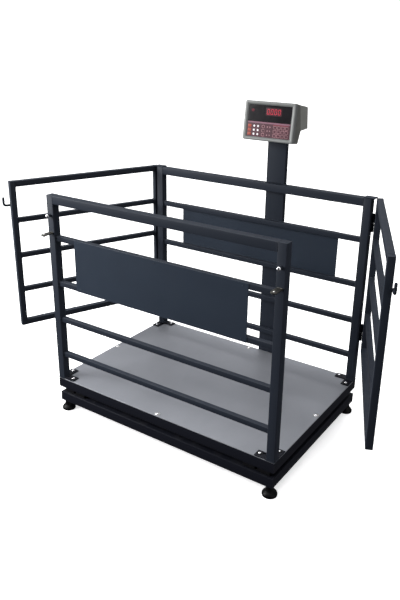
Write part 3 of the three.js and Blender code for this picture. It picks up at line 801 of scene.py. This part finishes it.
# Small parts on the posts ----------------------------------------
def ball_studs():
    """A polished ball on a dark shank with a collar, screwed into each front post."""
    for side, _ in ENDS:
        node = f"ball_stud_{side}"
        low, high = box_in(node)
        radius = (high.x - low.x) / 2
        middle = high.y - low.y - radius
        centre = (low + high) / 2
        centre.y = high.y
        neck = middle - 0.7 * radius
        collar = in_mm((8, 2.4), (7.4, 3), (4.5, 3))
        shank = [(MM, -GAP), (8 * MM, -GAP), *collar, (4.2 * MM, neck), (MM, neck)]
        fixing(f"{node}_shank", centre, "y", shank, -1, SHADED_TUBE_PAINT)
        rim = arc(radius, -math.pi / 2, math.pi / 2, 14, v=middle)
        ball = [(max(r, 0.05 * MM), height) for r, height in rim]
        fixing(f"{node}_ball", centre, "y", ball, -1, CHROME, stands_for=[node])


def post_tabs():
    """A round-ended plated tab on each front post, with a bolt at the centre of its round end."""
    for side, _ in ENDS:
        node = f"post_tab_{side}"
        low, high = box_in(node)
        half = (high.x - low.x) / 2
        x = (low.x + high.x) / 2
        y = low.y + half
        tip = arc(half, math.pi, 2 * math.pi, 16, x, y)
        bm = bmesh.new()
        add_prism(bm, "z", [(x + half, high.y), (x - half, high.y), *tip], low.z, high.z)
        finished(bm, f"{node}_plate", DULL_ZINC, "base", "zinc_steel", [node], bevel=0.7 * MM)
        bm = bmesh.new()
        for z, up in ((low.z, -1), (high.z, 1)):
            start, end = (x - half + 2 * MM, high.y, z), (x + half - 2 * MM, high.y, z)
            add_bead(bm, start, end, (0, -1, 0), (0, 0, up), 2.6 * MM)
        finished(bm, f"{node}_weld", DULL_ZINC, "base", "zinc_steel")
        nut = hex_head_profile(6.5 * MM, 5 * MM)
        fixing(f"{node}_nut", (x, y, low.z), "z", nut, -1, DULL_ZINC)
        fixing(f"{node}_bolt", (x, y, high.z), "z", dome_profile(5 * MM, 4 * MM))


def hinge_caps():
    for side, _ in ENDS:
        node = f"hinge_cap_{side}"
        bm = bmesh.new()
        add_box(bm, *box_in(node))
        painted(bm, f"{node}_plate", [node], bevel=1.2 * MM)


# Hinges ----------------------------------------
# Radius of a hinge barrel, depth of its weld leaf, and what is welded and laid beside them.
BARREL = 5.45 * MM
LEAF = 8 * MM
LEAF_WELD = 2.2 * MM
HINGE_WASHER = 1.1 * MM


def barrel_profile(length):
    """A barrel whose outer end is rounded like a bullet."""
    nose = arc(BARREL, 0, math.pi / 2, 6, v=length - BARREL)
    rounded = [(max(radius, 0.4 * MM), height) for radius, height in nose]
    return [(MM, 0), (BARREL - EDGE, 0), (BARREL, EDGE), *rounded]


def hinge_half(name, centre, face_x, start, end, body, place, welds):
    """Half of a lift-off hinge: a bullet barrel from start, its butt end, to end, and its weld leaf.

    welds gives the sides of the leaf that have a bead: -1 in front, 1 behind.
    """
    bm = bmesh.new()
    sign = 1 if end > start else -1
    add_turned(bm, (centre.x, centre.y, start), "z", barrel_profile(abs(end - start)), 24, sign)
    low_z, high_z = sorted((start, end - sign * BARREL * 0.5))
    towards = 1 if face_x > centre.x else -1
    low_x, high_x = sorted((centre.x, face_x))
    low = Vector((low_x, centre.y - LEAF / 2, low_z + EDGE))
    high = Vector((high_x, centre.y + LEAF / 2, high_z - EDGE))
    add_tube(bm, "z", low, high, THICK_WALL, 0.8 * MM, capped=True)
    for side in welds:
        y = centre.y + side * LEAF / 2
        a, b = (face_x, y, low_z + 2 * MM), (face_x, y, high_z - 2 * MM)
        add_bead(bm, a, b, (-towards, 0, 0), (0, side, 0), LEAF_WELD)
    painted(bm, name, (), body, place)


def hinges(side, sign, place):
    """Both halves of both hinges of a gate. The lower half stays on the post."""
    pivot = place.translation
    post_low, post_high = post_box(sign, 1)
    post_face = post_high.x if sign > 0 else post_low.x
    stile_low, stile_high = box_in(f"gate_{side}_free_stile", place)
    stile_face = stile_low.x if sign > 0 else stile_high.x
    lower = stretches(f"post_back_{side}", STILL, lambda p: sign * (p.x - post_face) > MM)
    upper = stretches(f"gate_{side}_hinge_stile", place, lambda p: sign * (stile_face - p.x) > MM)
    body = f"gate_{side}"
    for number, (down, up) in enumerate(zip(lower, upper), 1):
        under = up[0] - GAP - HINGE_WASHER
        name = f"{body}_hinge_{number}"
        axis = Vector((pivot.x, pivot.y, under))
        start = under - 0.1 * MM
        hinge_half(f"{name}_lower", axis, post_face, start, down[0], "base", STILL, (-1, 1))
        hinge_half(f"{name}_upper", Vector(), stile_face, up[0], up[1], body, place, (-1,))
        ring = washer_profile(BARREL - 0.4 * MM, HINGE_WASHER)
        fixing(f"{name}_washer", axis, "z", ring)


# Gates ----------------------------------------
def stile_box(side, which, place):
    """A gate stile's own box. The free one has no hinges on it, so it gives the section for both."""
    low, high = box_in(f"gate_{side}_free_stile", place)
    if which == "hinge":
        depth = high.y - low.y
        rail_low, rail_high = box_in(f"gate_{side}_bottom_rail", place)
        low.y = rail_high.y + (rail_low.y - high.y)
        high.y = low.y + depth
    return low, high


def gate(side, sign):
    body = f"gate_{side}"
    place = gate_place(side)
    for which in ("hinge", "free"):
        node = f"{body}_{which}_stile"
        low, high = stile_box(side, which, place)
        bm = bmesh.new()
        add_tube(bm, "z", low, high, THICK_WALL, POST_CORNER, capped=True)
        painted(bm, f"{node}_tube", [node], body, place)
    for level in ("top", "bottom"):
        rail(f"{body}_{level}_rail", "y", THICK_RAIL, body, place)
    for level in ("lower", "middle", "upper"):
        rail(f"{body}_{level}_rail", "y", THIN_RAIL, body, place)
    hinges(side, sign, place)
    hook(side, place, body)


HOOK_TURN = 13 * MM
HOOK_WELD = 2.4 * MM


def bar_path(low, high, radius):
    """A hook bar's middle line as (y, z, direction, size): straight, turned up, with a round tip."""
    z = low.z + radius
    y = low.y + radius
    bend_y, bend_z = y + HOOK_TURN, z + HOOK_TURN
    path = [(high.y, z, 0, 0.86), (high.y - MM, z, 0, 1)]
    for step in range(9):
        angle = math.pi / 2 * step / 8
        sine, cosine = math.sin(angle), math.cos(angle)
        path.append((bend_y - HOOK_TURN * sine, bend_z - HOOK_TURN * cosine, angle, 1))
    for cosine, sine in arc(1, 0, math.pi / 2, 5):
        path.append((y, high.z - radius + radius * sine, math.pi / 2, max(cosine, 0.05)))
    return path


def hook(side, place, body):
    """A round bar welded along the free stile's outer side, turned up past the stile's end."""
    node = f"gate_{side}_hook"
    low, high = box_in(node, place)
    stile_low, stile_high = stile_box(side, "free", place)
    radius = (high.x - low.x) / 2
    x = (low.x + high.x) / 2
    rings = []
    for y, z, angle, size in bar_path(low, high, radius):
        ring = []
        for i in range(20):
            around = 2 * math.pi * i / 20
            sideways = radius * size * math.cos(around)
            up = radius * size * math.sin(around)
            ring.append(Vector((x + sideways, y + up * math.sin(angle), z + up * math.cos(angle))))
        rings.append(ring)
    bm = bmesh.new()
    loft(bm, rings)
    outward = 1 if x > (stile_low.x + stile_high.x) / 2 else -1
    wall = stile_high.x if outward > 0 else stile_low.x
    for up in (-1, 1):
        edge = low.z + radius + up * 0.62 * radius
        start, end = (wall, high.y - MM, edge), (wall, stile_low.y + 3 * MM, edge)
        add_bead(bm, start, end, (outward, 0, 0), (0, 0, up), HOOK_WELD)
    painted(bm, f"{node}_bar", [node], body, place)


# Column and indicator ----------------------------------------
COLUMN_CORNER = 4 * MM
COLUMN_DEPTH = 25 * MM


def column():
    """A flat tube behind the back fence, with a bolted pad between it and the frame."""
    node = "indicator_column"
    low, high = box_in(node)
    front_y = high.y - COLUMN_DEPTH
    bm = bmesh.new()
    add_tube(bm, "z", Vector((low.x, front_y, low.z)), high, THICK_WALL, COLUMN_CORNER)
    pad_low = Vector((low.x + 5 * MM, low.y, low.z + 3 * MM))
    pad_high = Vector((high.x - 5 * MM, front_y + MM, low.z + 47 * MM))
    add_box(bm, pad_low, pad_high)
    for x, side in ((pad_low.x, -1), (pad_high.x, 1)):
        start, end = (x, front_y, pad_low.z + MM), (x, front_y, pad_high.z - MM)
        add_bead(bm, start, end, (side, 0, 0), (0, -1, 0), 1.6 * MM)
    painted(bm, "column_tube", [node])
    for number, z in enumerate((pad_low.z + 12 * MM, pad_high.z - 12 * MM), 1):
        for side, sign in ENDS:
            centre = ((low.x + high.x) / 2 + sign * 28 * MM, high.y, z)
            bolt(f"column_foot_{side}_{number}", centre, "y")


def head_bracket():
    """Two lugs on a plate, with the pivot bolt, its head and its nut."""
    node = "column_head_bracket"
    low, high = box_in(node)
    pivot = Vector(JOINTS["indicator_tilt"]["pos_m"])
    radius = high.z - pivot.z
    lug = 4 * MM
    inner = high.x - pivot.x - 2 * lug
    reach = inner + lug
    depth = high.y - pivot.y
    bm = bmesh.new()
    plate_low = Vector((pivot.x - reach, pivot.y - depth, low.z))
    plate_high = Vector((pivot.x + reach, pivot.y + depth, low.z + lug))
    add_box(bm, plate_low, plate_high)
    for side in (-1, 1):
        foot = low.z + lug / 2
        crown = arc(radius, 0, math.pi, 12, pivot.y, pivot.z)
        outline = [(pivot.y - radius, foot), (pivot.y + radius, foot), *crown]
        start, end = sorted((pivot.x + side * inner, pivot.x + side * reach))
        add_prism(bm, "x", outline, start, end)
    painted(bm, "head_bracket_plates", [node], bevel=0.7 * MM)
    rod = [(MM, 0), (3.7 * MM, 0), (3.7 * MM, 2 * reach), (MM, 2 * reach)]
    start = (pivot.x - reach, pivot.y, pivot.z)
    end = (pivot.x + reach, pivot.y, pivot.z)
    head = hex_head_profile(6.5 * MM, 3.6 * MM)
    fixing("pivot_rod", start, "x", rod)
    fixing("pivot_nut", start, "x", head, -1)
    fixing("pivot_head", end, "x", head)


def head_piece(bm, name, material, slot="dark_plastic", stands_for=(), **more):
    """A piece of the indicator, made in the indicator's own frame."""
    finished(bm, name, material, "indicator", slot, stands_for, INDICATOR_PLACE, **more)


def face_box():
    return box_in("indicator_bezel", INDICATOR_PLACE)


def bezel():
    """A rounded frame round the face, with a soft outer edge and a chamfer down to the panels."""
    low, high = face_box()
    window_low, window_high = box_in("display_window", INDICATOR_PLACE)
    keypad_low, _ = box_in("keypad_panel", INDICATOR_PLACE)
    half, middle = (high - low) / 2, (high + low) / 2
    in_x = (window_high.x - window_low.x) / 2 + GAP
    in_top, in_bottom = window_high.z + GAP, keypad_low.z - GAP
    in_half, in_z = (in_top - in_bottom) / 2, (in_top + in_bottom) / 2

    def ring(half_u, half_v, z, radius, behind):
        outline = rounded_rectangle(half_u, half_v, radius * MM, 6)
        return [Vector((middle.x + u, low.y + behind * MM, z + v)) for u, v in outline]

    # Rings as (distance in from the edge or out from the opening, corner radius, depth behind the face).
    back = (high.y - low.y) / MM
    outside = ((0, 9, back), (0, 9, 5), (0.6, 9, 2.6), (2, 8, 0.9), (4.2, 7, 0))
    chamfer = ((5, 6, 0.1), (4, 5, 0.7), (0, 2, 2.6))
    rebate = ((0, 2, back - 5), (-6, 2, back - 5), (-6, 2, back))
    rings = [ring(half.x - s * MM, half.z - s * MM, middle.z, r, y) for s, r, y in outside]
    rings += [ring(in_x + s * MM, in_half + s * MM, in_z, r, y) for s, r, y in chamfer + rebate]
    bm = bmesh.new()
    loft(bm, rings, closed=True)
    head_piece(bm, "bezel_frame", PALE_PLASTIC, "light_plastic", ["indicator_bezel"], smooth=50)


def panel(name, node, material, slot):
    low, high = box_in(node, INDICATOR_PLACE)
    bm = bmesh.new()
    add_box(bm, low, high)
    head_piece(bm, name, material, slot, [node], bevel=0.5 * MM)
    return low, high


def segment_outlines(width, height, bar):
    """The seven bars of a digit, as outlines about its middle."""
    half = bar / 2
    right, top = width / 2 - half, height / 2 - half
    gap = 0.12 * bar
    ends = {
        "a": ((-right, top), (right, top)),
        "b": ((right, top), (right, 0)),
        "c": ((right, 0), (right, -top)),
        "d": ((-right, -top), (right, -top)),
        "e": ((-right, 0), (-right, -top)),
        "f": ((-right, top), (-right, 0)),
        "g": ((-right, 0), (right, 0)),
    }
    outlines = {}
    for name, (start, end) in ends.items():
        a, b = Vector(start), Vector(end)
        along = (b - a).normalized()
        across = half * Vector((-along.y, along.x))
        a, b = a + along * gap, b - along * gap
        along *= half
        upper = [a, a + along + across, b - along + across]
        outlines[name] = upper + [b, b - along - across, a + along - across]
    return outlines


def add_on_face(bm, outline, face_y, thickness):
    """A thin raised shape on the face: its outline is in (across, up)."""
    ends = (face_y + 0.1 * MM, face_y - thickness)
    loft(bm, [[Vector((u, y, v)) for u, v in outline] for y in ends])


def mm(*values):
    return tuple(value * MM for value in values)


def add_pad(bm, x, z, half_u, half_v, radius, face_y, thickness=0.2 * MM, steps=3):
    """A thin raised rounded rectangle on the face."""
    outline = rounded_rectangle(half_u, half_v, radius, steps)
    add_on_face(bm, [(x + u, z + v) for u, v in outline], face_y, thickness)


DIGITS = 4
ZERO = "abcdef"
POINT_AFTER = 0
SLANT = 0.09
DIGIT_WIDTH, DIGIT_HEIGHT, DIGIT_BAR = mm(13, 25, 2.2)
DIGIT_PITCH = 19.6 * MM
MARK_RING = mm(7, 5.5, 5)
MARK = mm(2.4, 1.4, 1)
POINT = mm(1.4, 1.4, 1.3)


def display(low, high):
    """Four red zeros, a decimal point and a dim status mark, on the window's face."""
    face = low.y
    middle_x = (low.x + high.x) / 2 + 21 * MM
    middle_z = high.z - 30 * MM
    lit, unlit, dim, pane = (bmesh.new() for _ in range(4))
    start = middle_x - DIGIT_PITCH * (DIGITS - 1) / 2
    for place in range(DIGITS):
        x = start + place * DIGIT_PITCH
        for name, outline in segment_outlines(DIGIT_WIDTH, DIGIT_HEIGHT, DIGIT_BAR).items():
            slanted = [(x + p.x + SLANT * p.y, middle_z + p.y) for p in outline]
            add_on_face(lit if name in ZERO else unlit, slanted, face, 0.2 * MM)
        point_x = x + DIGIT_WIDTH / 2 + 3 * MM
        point_z = middle_z - DIGIT_HEIGHT / 2 + DIGIT_BAR / 2
        add_pad(lit if place == POINT_AFTER else unlit, point_x, point_z, *POINT, face)
    x, z = low.x + 24 * MM, middle_z + 3 * MM
    outline_ring(dim, x, z, MARK_RING, 1.8 * MM, face + 0.1 * MM)
    add_pad(dim, x, z, *MARK, face)
    pane_width, pane_height = DIGIT_PITCH * DIGITS / 2 + 4 * MM, DIGIT_HEIGHT / 2 + 6 * MM
    add_pad(pane, middle_x, middle_z, pane_width, pane_height, 6 * MM, face, 0.1 * MM, 4)
    head_piece(pane, "display_filter", FILTER, "smoked_window")
    head_piece(lit, "digits_lit", LIT, "smoked_window")
    head_piece(unlit, "digits_unlit", UNLIT, "smoked_window")
    head_piece(dim, "status_mark", DIM, "smoked_window")


def outline_ring(bm, x, z, size, line, face_y):
    """A raised closed line round a key."""
    half_u, half_v, radius = size
    foot, top = face_y + 0.1 * MM, face_y - 0.4 * MM
    rings = []
    for shrink, y in ((0, foot), (0, top), (line, top), (line, foot)):
        corner = max(radius - shrink, 0.2 * MM)
        outline = rounded_rectangle(half_u - shrink, half_v - shrink, corner)
        rings.append([Vector((x + u, y, z + v)) for u, v in outline])
    loft(bm, rings, closed=True)


# A key's dome as (share by which it narrows, share of its height).
DOME = ((0, -0.1), (0, 0.4), (0.12, 0.8), (0.3, 1))


def key_cap(bm, x, z, size, face_y, height=0.9 * MM):
    """A slightly domed key pressed out of the film."""
    half_u, half_v, radius = size
    rings = []
    for narrower, rise in DOME:
        k = 1 - narrower
        outline = rounded_rectangle(half_u * k, half_v * k, max(radius * k, 0.2 * MM))
        rings.append([Vector((x + u, face_y - rise * height, z + v)) for u, v in outline])
    loft(bm, rings)


# Keys as (half width, half height, corner radius).
ORANGE_SIZE = mm(9.2, 7.2, 2)
WHITE_SIZE = mm(5, 5, 4.8)
ROUND_OUTLINE, ROUND_CAP = mm(8, 7.2, 6), mm(4.6, 4.4, 4)
NUMBER_OUTLINE, NUMBER_CAP = mm(8.6, 7.2, 2.4), mm(5.6, 4.6, 1.8)
LOW_KEY = 0.6 * MM
# Rows are measured down from the keypad's top, and columns across from its middle.
KEY_ROWS = mm(22.2, 41.2, 60.2)
ORANGE_COLUMN, ROUND_COLUMN = mm(-103, -28)
WHITE_COLUMNS = mm(-78, -56.5)
ARROW_COLUMNS = ((-6 * MM, -1), (9 * MM, 1))
NUMBER_COLUMNS = mm(35, 56, 77, 98)


def keypad(low, high):
    """Membrane keys: an orange-red column, six white keys, outlined keys, arrows and a number block."""
    middle = (low.x + high.x) / 2
    face = low.y
    orange, white, outlines, caps, arrows, strip, thin_strip = (bmesh.new() for _ in range(7))
    for down in KEY_ROWS:
        z = high.z - down
        key_cap(orange, middle + ORANGE_COLUMN, z, ORANGE_SIZE, face)
        for across in WHITE_COLUMNS:
            key_cap(white, middle + across, z, WHITE_SIZE, face)
        outline_ring(outlines, middle + ROUND_COLUMN, z, ROUND_OUTLINE, 1.5 * MM, face)
        key_cap(caps, middle + ROUND_COLUMN, z, ROUND_CAP, face, LOW_KEY)
        for across, way in ARROW_COLUMNS:
            tip, tail = middle + across + way * 4 * MM, middle + across - way * 3 * MM
            arrow = [(tip, z), (tail, z + 4 * MM), (tail, z - 4 * MM)]
            add_on_face(arrows, arrow, face, 0.5 * MM)
        for across in NUMBER_COLUMNS:
            outline_ring(outlines, middle + across, z, NUMBER_OUTLINE, 1.4 * MM, face)
            key_cap(caps, middle + across, z, NUMBER_CAP, face, LOW_KEY)
    wide = (high.x - low.x) / 2 - 2 * MM
    add_pad(strip, middle, high.z - 4.6 * MM, wide, 3.4 * MM, MM, face, 0.3 * MM)
    number_x = middle + 66 * MM
    add_pad(thin_strip, number_x, high.z - 11 * MM, *mm(42, 1.8, 0.8), face, 0.3 * MM)
    head_piece(orange, "keys_orange", ORANGE_KEY, "keypad_film")
    head_piece(white, "keys_white", WHITE_KEY, "keypad_film")
    head_piece(outlines, "key_outlines", ROSE_KEY, "keypad_film")
    head_piece(caps, "key_caps", KEYPAD, "keypad_film")
    head_piece(arrows, "key_arrows", ROSE_KEY, "keypad_film")
    head_piece(strip, "keypad_top_strip", KEYPAD_STRIP, "keypad_film")
    head_piece(thin_strip, "number_block_strip", RED_STRIP, "keypad_film")


# The housing's side profile as (depth behind the face, height up the face), in millimetres.
LOW_DEPTH = 68
STEP = (85.5, 61)
BLOCK = (161, 74)
TOP = (137, 176)
SEAM = (52, 181.4)
LUG_RADIUS = 11 * MM
LUG_HALF_WIDTH = 22 * MM


def rear_depth(height):
    """Depth of the rear face at a height on it."""
    rise = (height - BLOCK[1]) / (TOP[1] - BLOCK[1])
    return BLOCK[0] + rise * (TOP[0] - BLOCK[0])


def case_point(depth, height):
    """A point on the case's side profile, as (y, z)."""
    low, _ = face_box()
    return low.y + depth * MM, low.z + height * MM


def housing():
    """The case behind the face: two mouldings, the gasket between them and the bezel, and the lug."""
    node = "indicator_housing"
    low, high = box_in(node, INDICATOR_PLACE)
    face_low, face_high = face_box()
    front = face_high.y + GAP
    rim = [(front, face_high.z - MM), (front, face_low.z + 0.5 * MM)]
    low_wall = ((LOW_DEPTH - 4, 0), (LOW_DEPTH, 3), (81.4, 48), (84.2, 56), (86, 60), SEAM)
    underside = ((86, 60), (88.5, 61.2), (95, 63.2), (BLOCK[0] - 4, 73.4), (rear_depth(78), 78))
    crown = ((rear_depth(172), 172), (TOP[0] - 3, TOP[1]), SEAM)
    bm = bmesh.new()
    add_prism(bm, "x", rim + [case_point(*point) for point in low_wall], low.x, high.x)
    head_piece(bm, "housing_front_case", DARK_PLASTIC, stands_for=[node], bevel=2 * MM)
    # The rear case takes the lightened housing plastic: painted light.
    bm = bmesh.new()
    rear = [case_point(*point) for point in underside + crown]
    add_prism(bm, "x", rear, low.x + 0.8 * MM, high.x - 0.8 * MM)
    head_piece(bm, "housing_rear_case", LIT_HOUSING_PLASTIC, bevel=2 * MM)
    bm = bmesh.new()
    x, z = (low.x + high.x) / 2, (face_low.z + face_high.z) / 2
    half_height = (face_high.z - face_low.z) / 2 - 3 * MM
    outline = rounded_rectangle(high.x - 1.5 * MM, half_height, 7 * MM, 5)
    ends = (face_high.y - MM, face_high.y + 2 * MM)
    loft(bm, [[Vector((x + u, y, z + v)) for u, v in outline] for y in ends])
    head_piece(bm, "housing_gasket", RUBBER)
    bm = bmesh.new()
    _, top = case_point(*BLOCK)
    lug = arc(LUG_RADIUS, math.pi, 2 * math.pi, 12) + [(LUG_RADIUS, top), (-LUG_RADIUS, top)]
    add_prism(bm, "x", lug, -LUG_HALF_WIDTH, LUG_HALF_WIDTH)
    head_piece(bm, "housing_lug", DARK_PLASTIC, bevel=MM)


GLAND = in_mm(
    (2, -4),
    (8, -4, "hex"),
    (8, 4, "hex"),
    (7, 4.8),
    (6.6, 5),
    (7.4, 6),
    (7.4, 12),
    (6, 14.6),
    (3.4, 14.8),
    (3.2, 10),
)
GLAND_HEIGHT = 30


def case_part(name, x, depth, height, profile, material):
    """A turned part on the rear of the case."""
    spot = (x, *case_point(depth, height))
    turned_piece(
        name, spot, "y", profile, material, "indicator", "dark_plastic", place=INDICATOR_PLACE
    )


def gland():
    """The cable gland on the low part of the rear."""
    low, _ = face_box()
    depth = LOW_DEPTH + (STEP[0] - LOW_DEPTH) * GLAND_HEIGHT / STEP[1]
    case_part("cable_gland", low.x / 2, depth, GLAND_HEIGHT, GLAND, RUBBER)


def case_screws():
    """Four screws sunk in the rear face."""
    _, high = box_in("indicator_housing", INDICATOR_PLACE)
    head = dome_profile(3.6 * MM, 2.2 * MM)
    for side, sign in ENDS:
        for height in (90, 162):
            x, depth = sign * (high.x - 22 * MM), rear_depth(height) - 1
            case_part(f"case_screw_{side}_{height}", x, depth, height, head, ZINC)


def vents():
    """Raised ribs across the rear face."""
    bm = bmesh.new()
    outline = rounded_rectangle(1.2 * MM, 1.6 * MM, 1.1 * MM, 3)
    for height in range(100, 149, 8):
        y, z = case_point(rear_depth(height) - 0.6, height)
        add_prism(bm, "x", [(y + u, z + v) for u, v in outline], -60 * MM, 60 * MM)
    head_piece(bm, "housing_ribs", LIT_HOUSING_PLASTIC)


def indicator():
    bezel()
    display(*panel("window_panel", "display_window", WINDOW, "smoked_window"))
    keypad(*panel("keypad_sheet", "keypad_panel", KEYPAD, "keypad_film"))
    housing()
    gland()
    case_screws()
    vents()


# Nodes that keep their CAD shape ----------------------------------------
def repaint(node, material):
    NODES[node].data.materials.clear()
    NODES[node].data.materials.append(material)


def inner_parts():
    # The load cells take near-black metal as painted shade in the gap between the frames.
    for corner, _, _ in CORNERS:
        repaint(f"load_cell_{corner}", SHADED_CELL_METAL)
    repaint("indicator_circuit_board", BOARD)


# Room, lights and camera ----------------------------------------
SWEEP_REACH = 30
SWEEP_HEIGHT = 40
SWEEP_GLOW = 0.7
SWEEP_CORNER = 6
SWEEP_BEND = 5


def sweep():
    """A white studio sheet: a floor whose rim rises into walls. It glows, so shadows on it stay faint."""
    bm = bmesh.new()
    rings = []
    for inward, height in ((SWEEP_BEND, 0), (0.3 * SWEEP_BEND, 0.3), (0, 1.5), (0, SWEEP_HEIGHT)):
        reach = SWEEP_REACH - inward
        outline = rounded_rectangle(reach, reach, SWEEP_CORNER, 8)
        rings.append([Vector((u, v, CAD_BOX[0].z + height)) for u, v in outline])
    loft(bm, rings, caps=False)
    bm.faces.new([bm.verts.new(point) for point in rings[0]])
    bmesh.ops.remove_doubles(bm, verts=bm.verts, dist=MM)
    bmesh.ops.recalc_face_normals(bm, faces=bm.faces)
    bmesh.ops.reverse_faces(bm, faces=bm.faces)
    mesh = bpy.data.meshes.new("sweep")
    bm.to_mesh(mesh)
    bm.free()
    mesh.shade_smooth()
    material, tree, shader, where = start_material("white paper sweep")
    tone = spread(tree, noise(tree, where, 0.6), 0, 1)
    paper = blend(tree, tone, (0.88, 0.88, 0.88), (0.92, 0.92, 0.92))
    feed(tree, shader, Base_Color=paper, Roughness=0.8)
    feed(tree, shader, Emission_Color=paper, Emission_Strength=SWEEP_GLOW)
    mesh.materials.append(material)
    obj = linked("sweep", mesh)
    obj.visible_diffuse = False
    obj.visible_glossy = False
    obj.visible_shadow = False


BEHIND = Vector((-0.567, 0.824, 0.4))


def add_light(name, kind, power, from_where, place=(0, 0, 0)):
    """A light at a place, which shines from a direction."""
    light = bpy.data.lights.new(name, kind)
    light.energy = power
    obj = linked(name, light)
    obj.location = place
    obj.rotation_euler = Vector(from_where).to_track_quat("Z", "Y").to_euler()
    return light


def softbox(name, place, target, side, power):
    """A square area light at a place, turned to a target."""
    light = add_light(name, "AREA", power, Vector(place) - Vector(target), place)
    light.shape = "SQUARE"
    light.size = side


def sun(name, from_where, strength, spread_deg):
    """A soft, even light from far away."""
    light = add_light(name, "SUN", strength, from_where)
    light.angle = math.radians(spread_deg)


def room():
    """A dim room, a little lighter behind the scale."""
    world = bpy.data.worlds.new("studio")
    bpy.context.scene.world = world
    world.use_nodes = True
    tree = world.node_tree
    direction = add_node(tree, "TexCoord").outputs["Generated"]
    near = spread(tree, likeness(tree, direction, BEHIND), 0, 1, 0.3, 0.9)
    light = blend(tree, near, (0.09, 0.09, 0.1), (0.3, 0.31, 0.33))
    feed(tree, tree.nodes["Background"], Color=light)


def lights():
    room()
    softbox("key", (-2.5, -2.2, 2.0), (0, -0.2, 0.9), 1.6, 200)
    sun("top", (-0.2, 0.15, 1), 3.4, 70)
    sun("fill", (1, -0.15, 0.25), 0.95, 60)


# The camera's place from the middle of the deck's top, how it is turned, and its lens.
CAMERA_FROM_DECK = Vector((1.6518, -2.4961, 1.6809))
CAMERA_AZIMUTH = math.radians(34.55)
CAMERA_DROP = math.radians(20.84)
CAMERA_ROLL = math.radians(0.57)
SENSOR = 36.0
LENS = 39.65
SHIFT_X, SHIFT_Y = 0.0036, -0.0352


def camera():
    data = bpy.data.cameras.new("camera")
    data.sensor_width = SENSOR
    data.lens = LENS
    data.shift_x, data.shift_y = SHIFT_X, SHIFT_Y
    data.dof.use_dof = False
    az, el = CAMERA_AZIMUTH, CAMERA_DROP
    back = Vector((math.sin(az) * math.cos(el), -math.cos(az) * math.cos(el), math.sin(el)))
    level = Vector((math.cos(az), math.sin(az), 0))
    upright = back.cross(level)
    right = math.cos(CAMERA_ROLL) * level + math.sin(CAMERA_ROLL) * upright
    up = back.cross(right)
    turn = Matrix((right, up, back)).transposed().to_4x4()
    obj = linked("camera", data)
    deck_top = Vector((0, 0, box_in("deck_plate")[1].z))
    obj.matrix_world = Matrix.Translation(deck_top + CAMERA_FROM_DECK) @ turn
    bpy.context.scene.camera = obj


def build():
    camera()
    ring_frame("base_frame_tubes", "base_frame")
    ring_frame("platform_frame_tubes", "platform_frame", crossing_places("platform_frame"))
    levelling_feet()
    deck_plate()
    posts()
    foot_brackets()
    fences()
    ball_studs()
    post_tabs()
    hinge_caps()
    for side, sign in ENDS:
        gate(side, sign)
    column()
    head_bracket()
    indicator()
    inner_parts()
    sweep()
    lights()
    scene = bpy.context.scene
    scene.view_settings.view_transform = "Standard"


build()
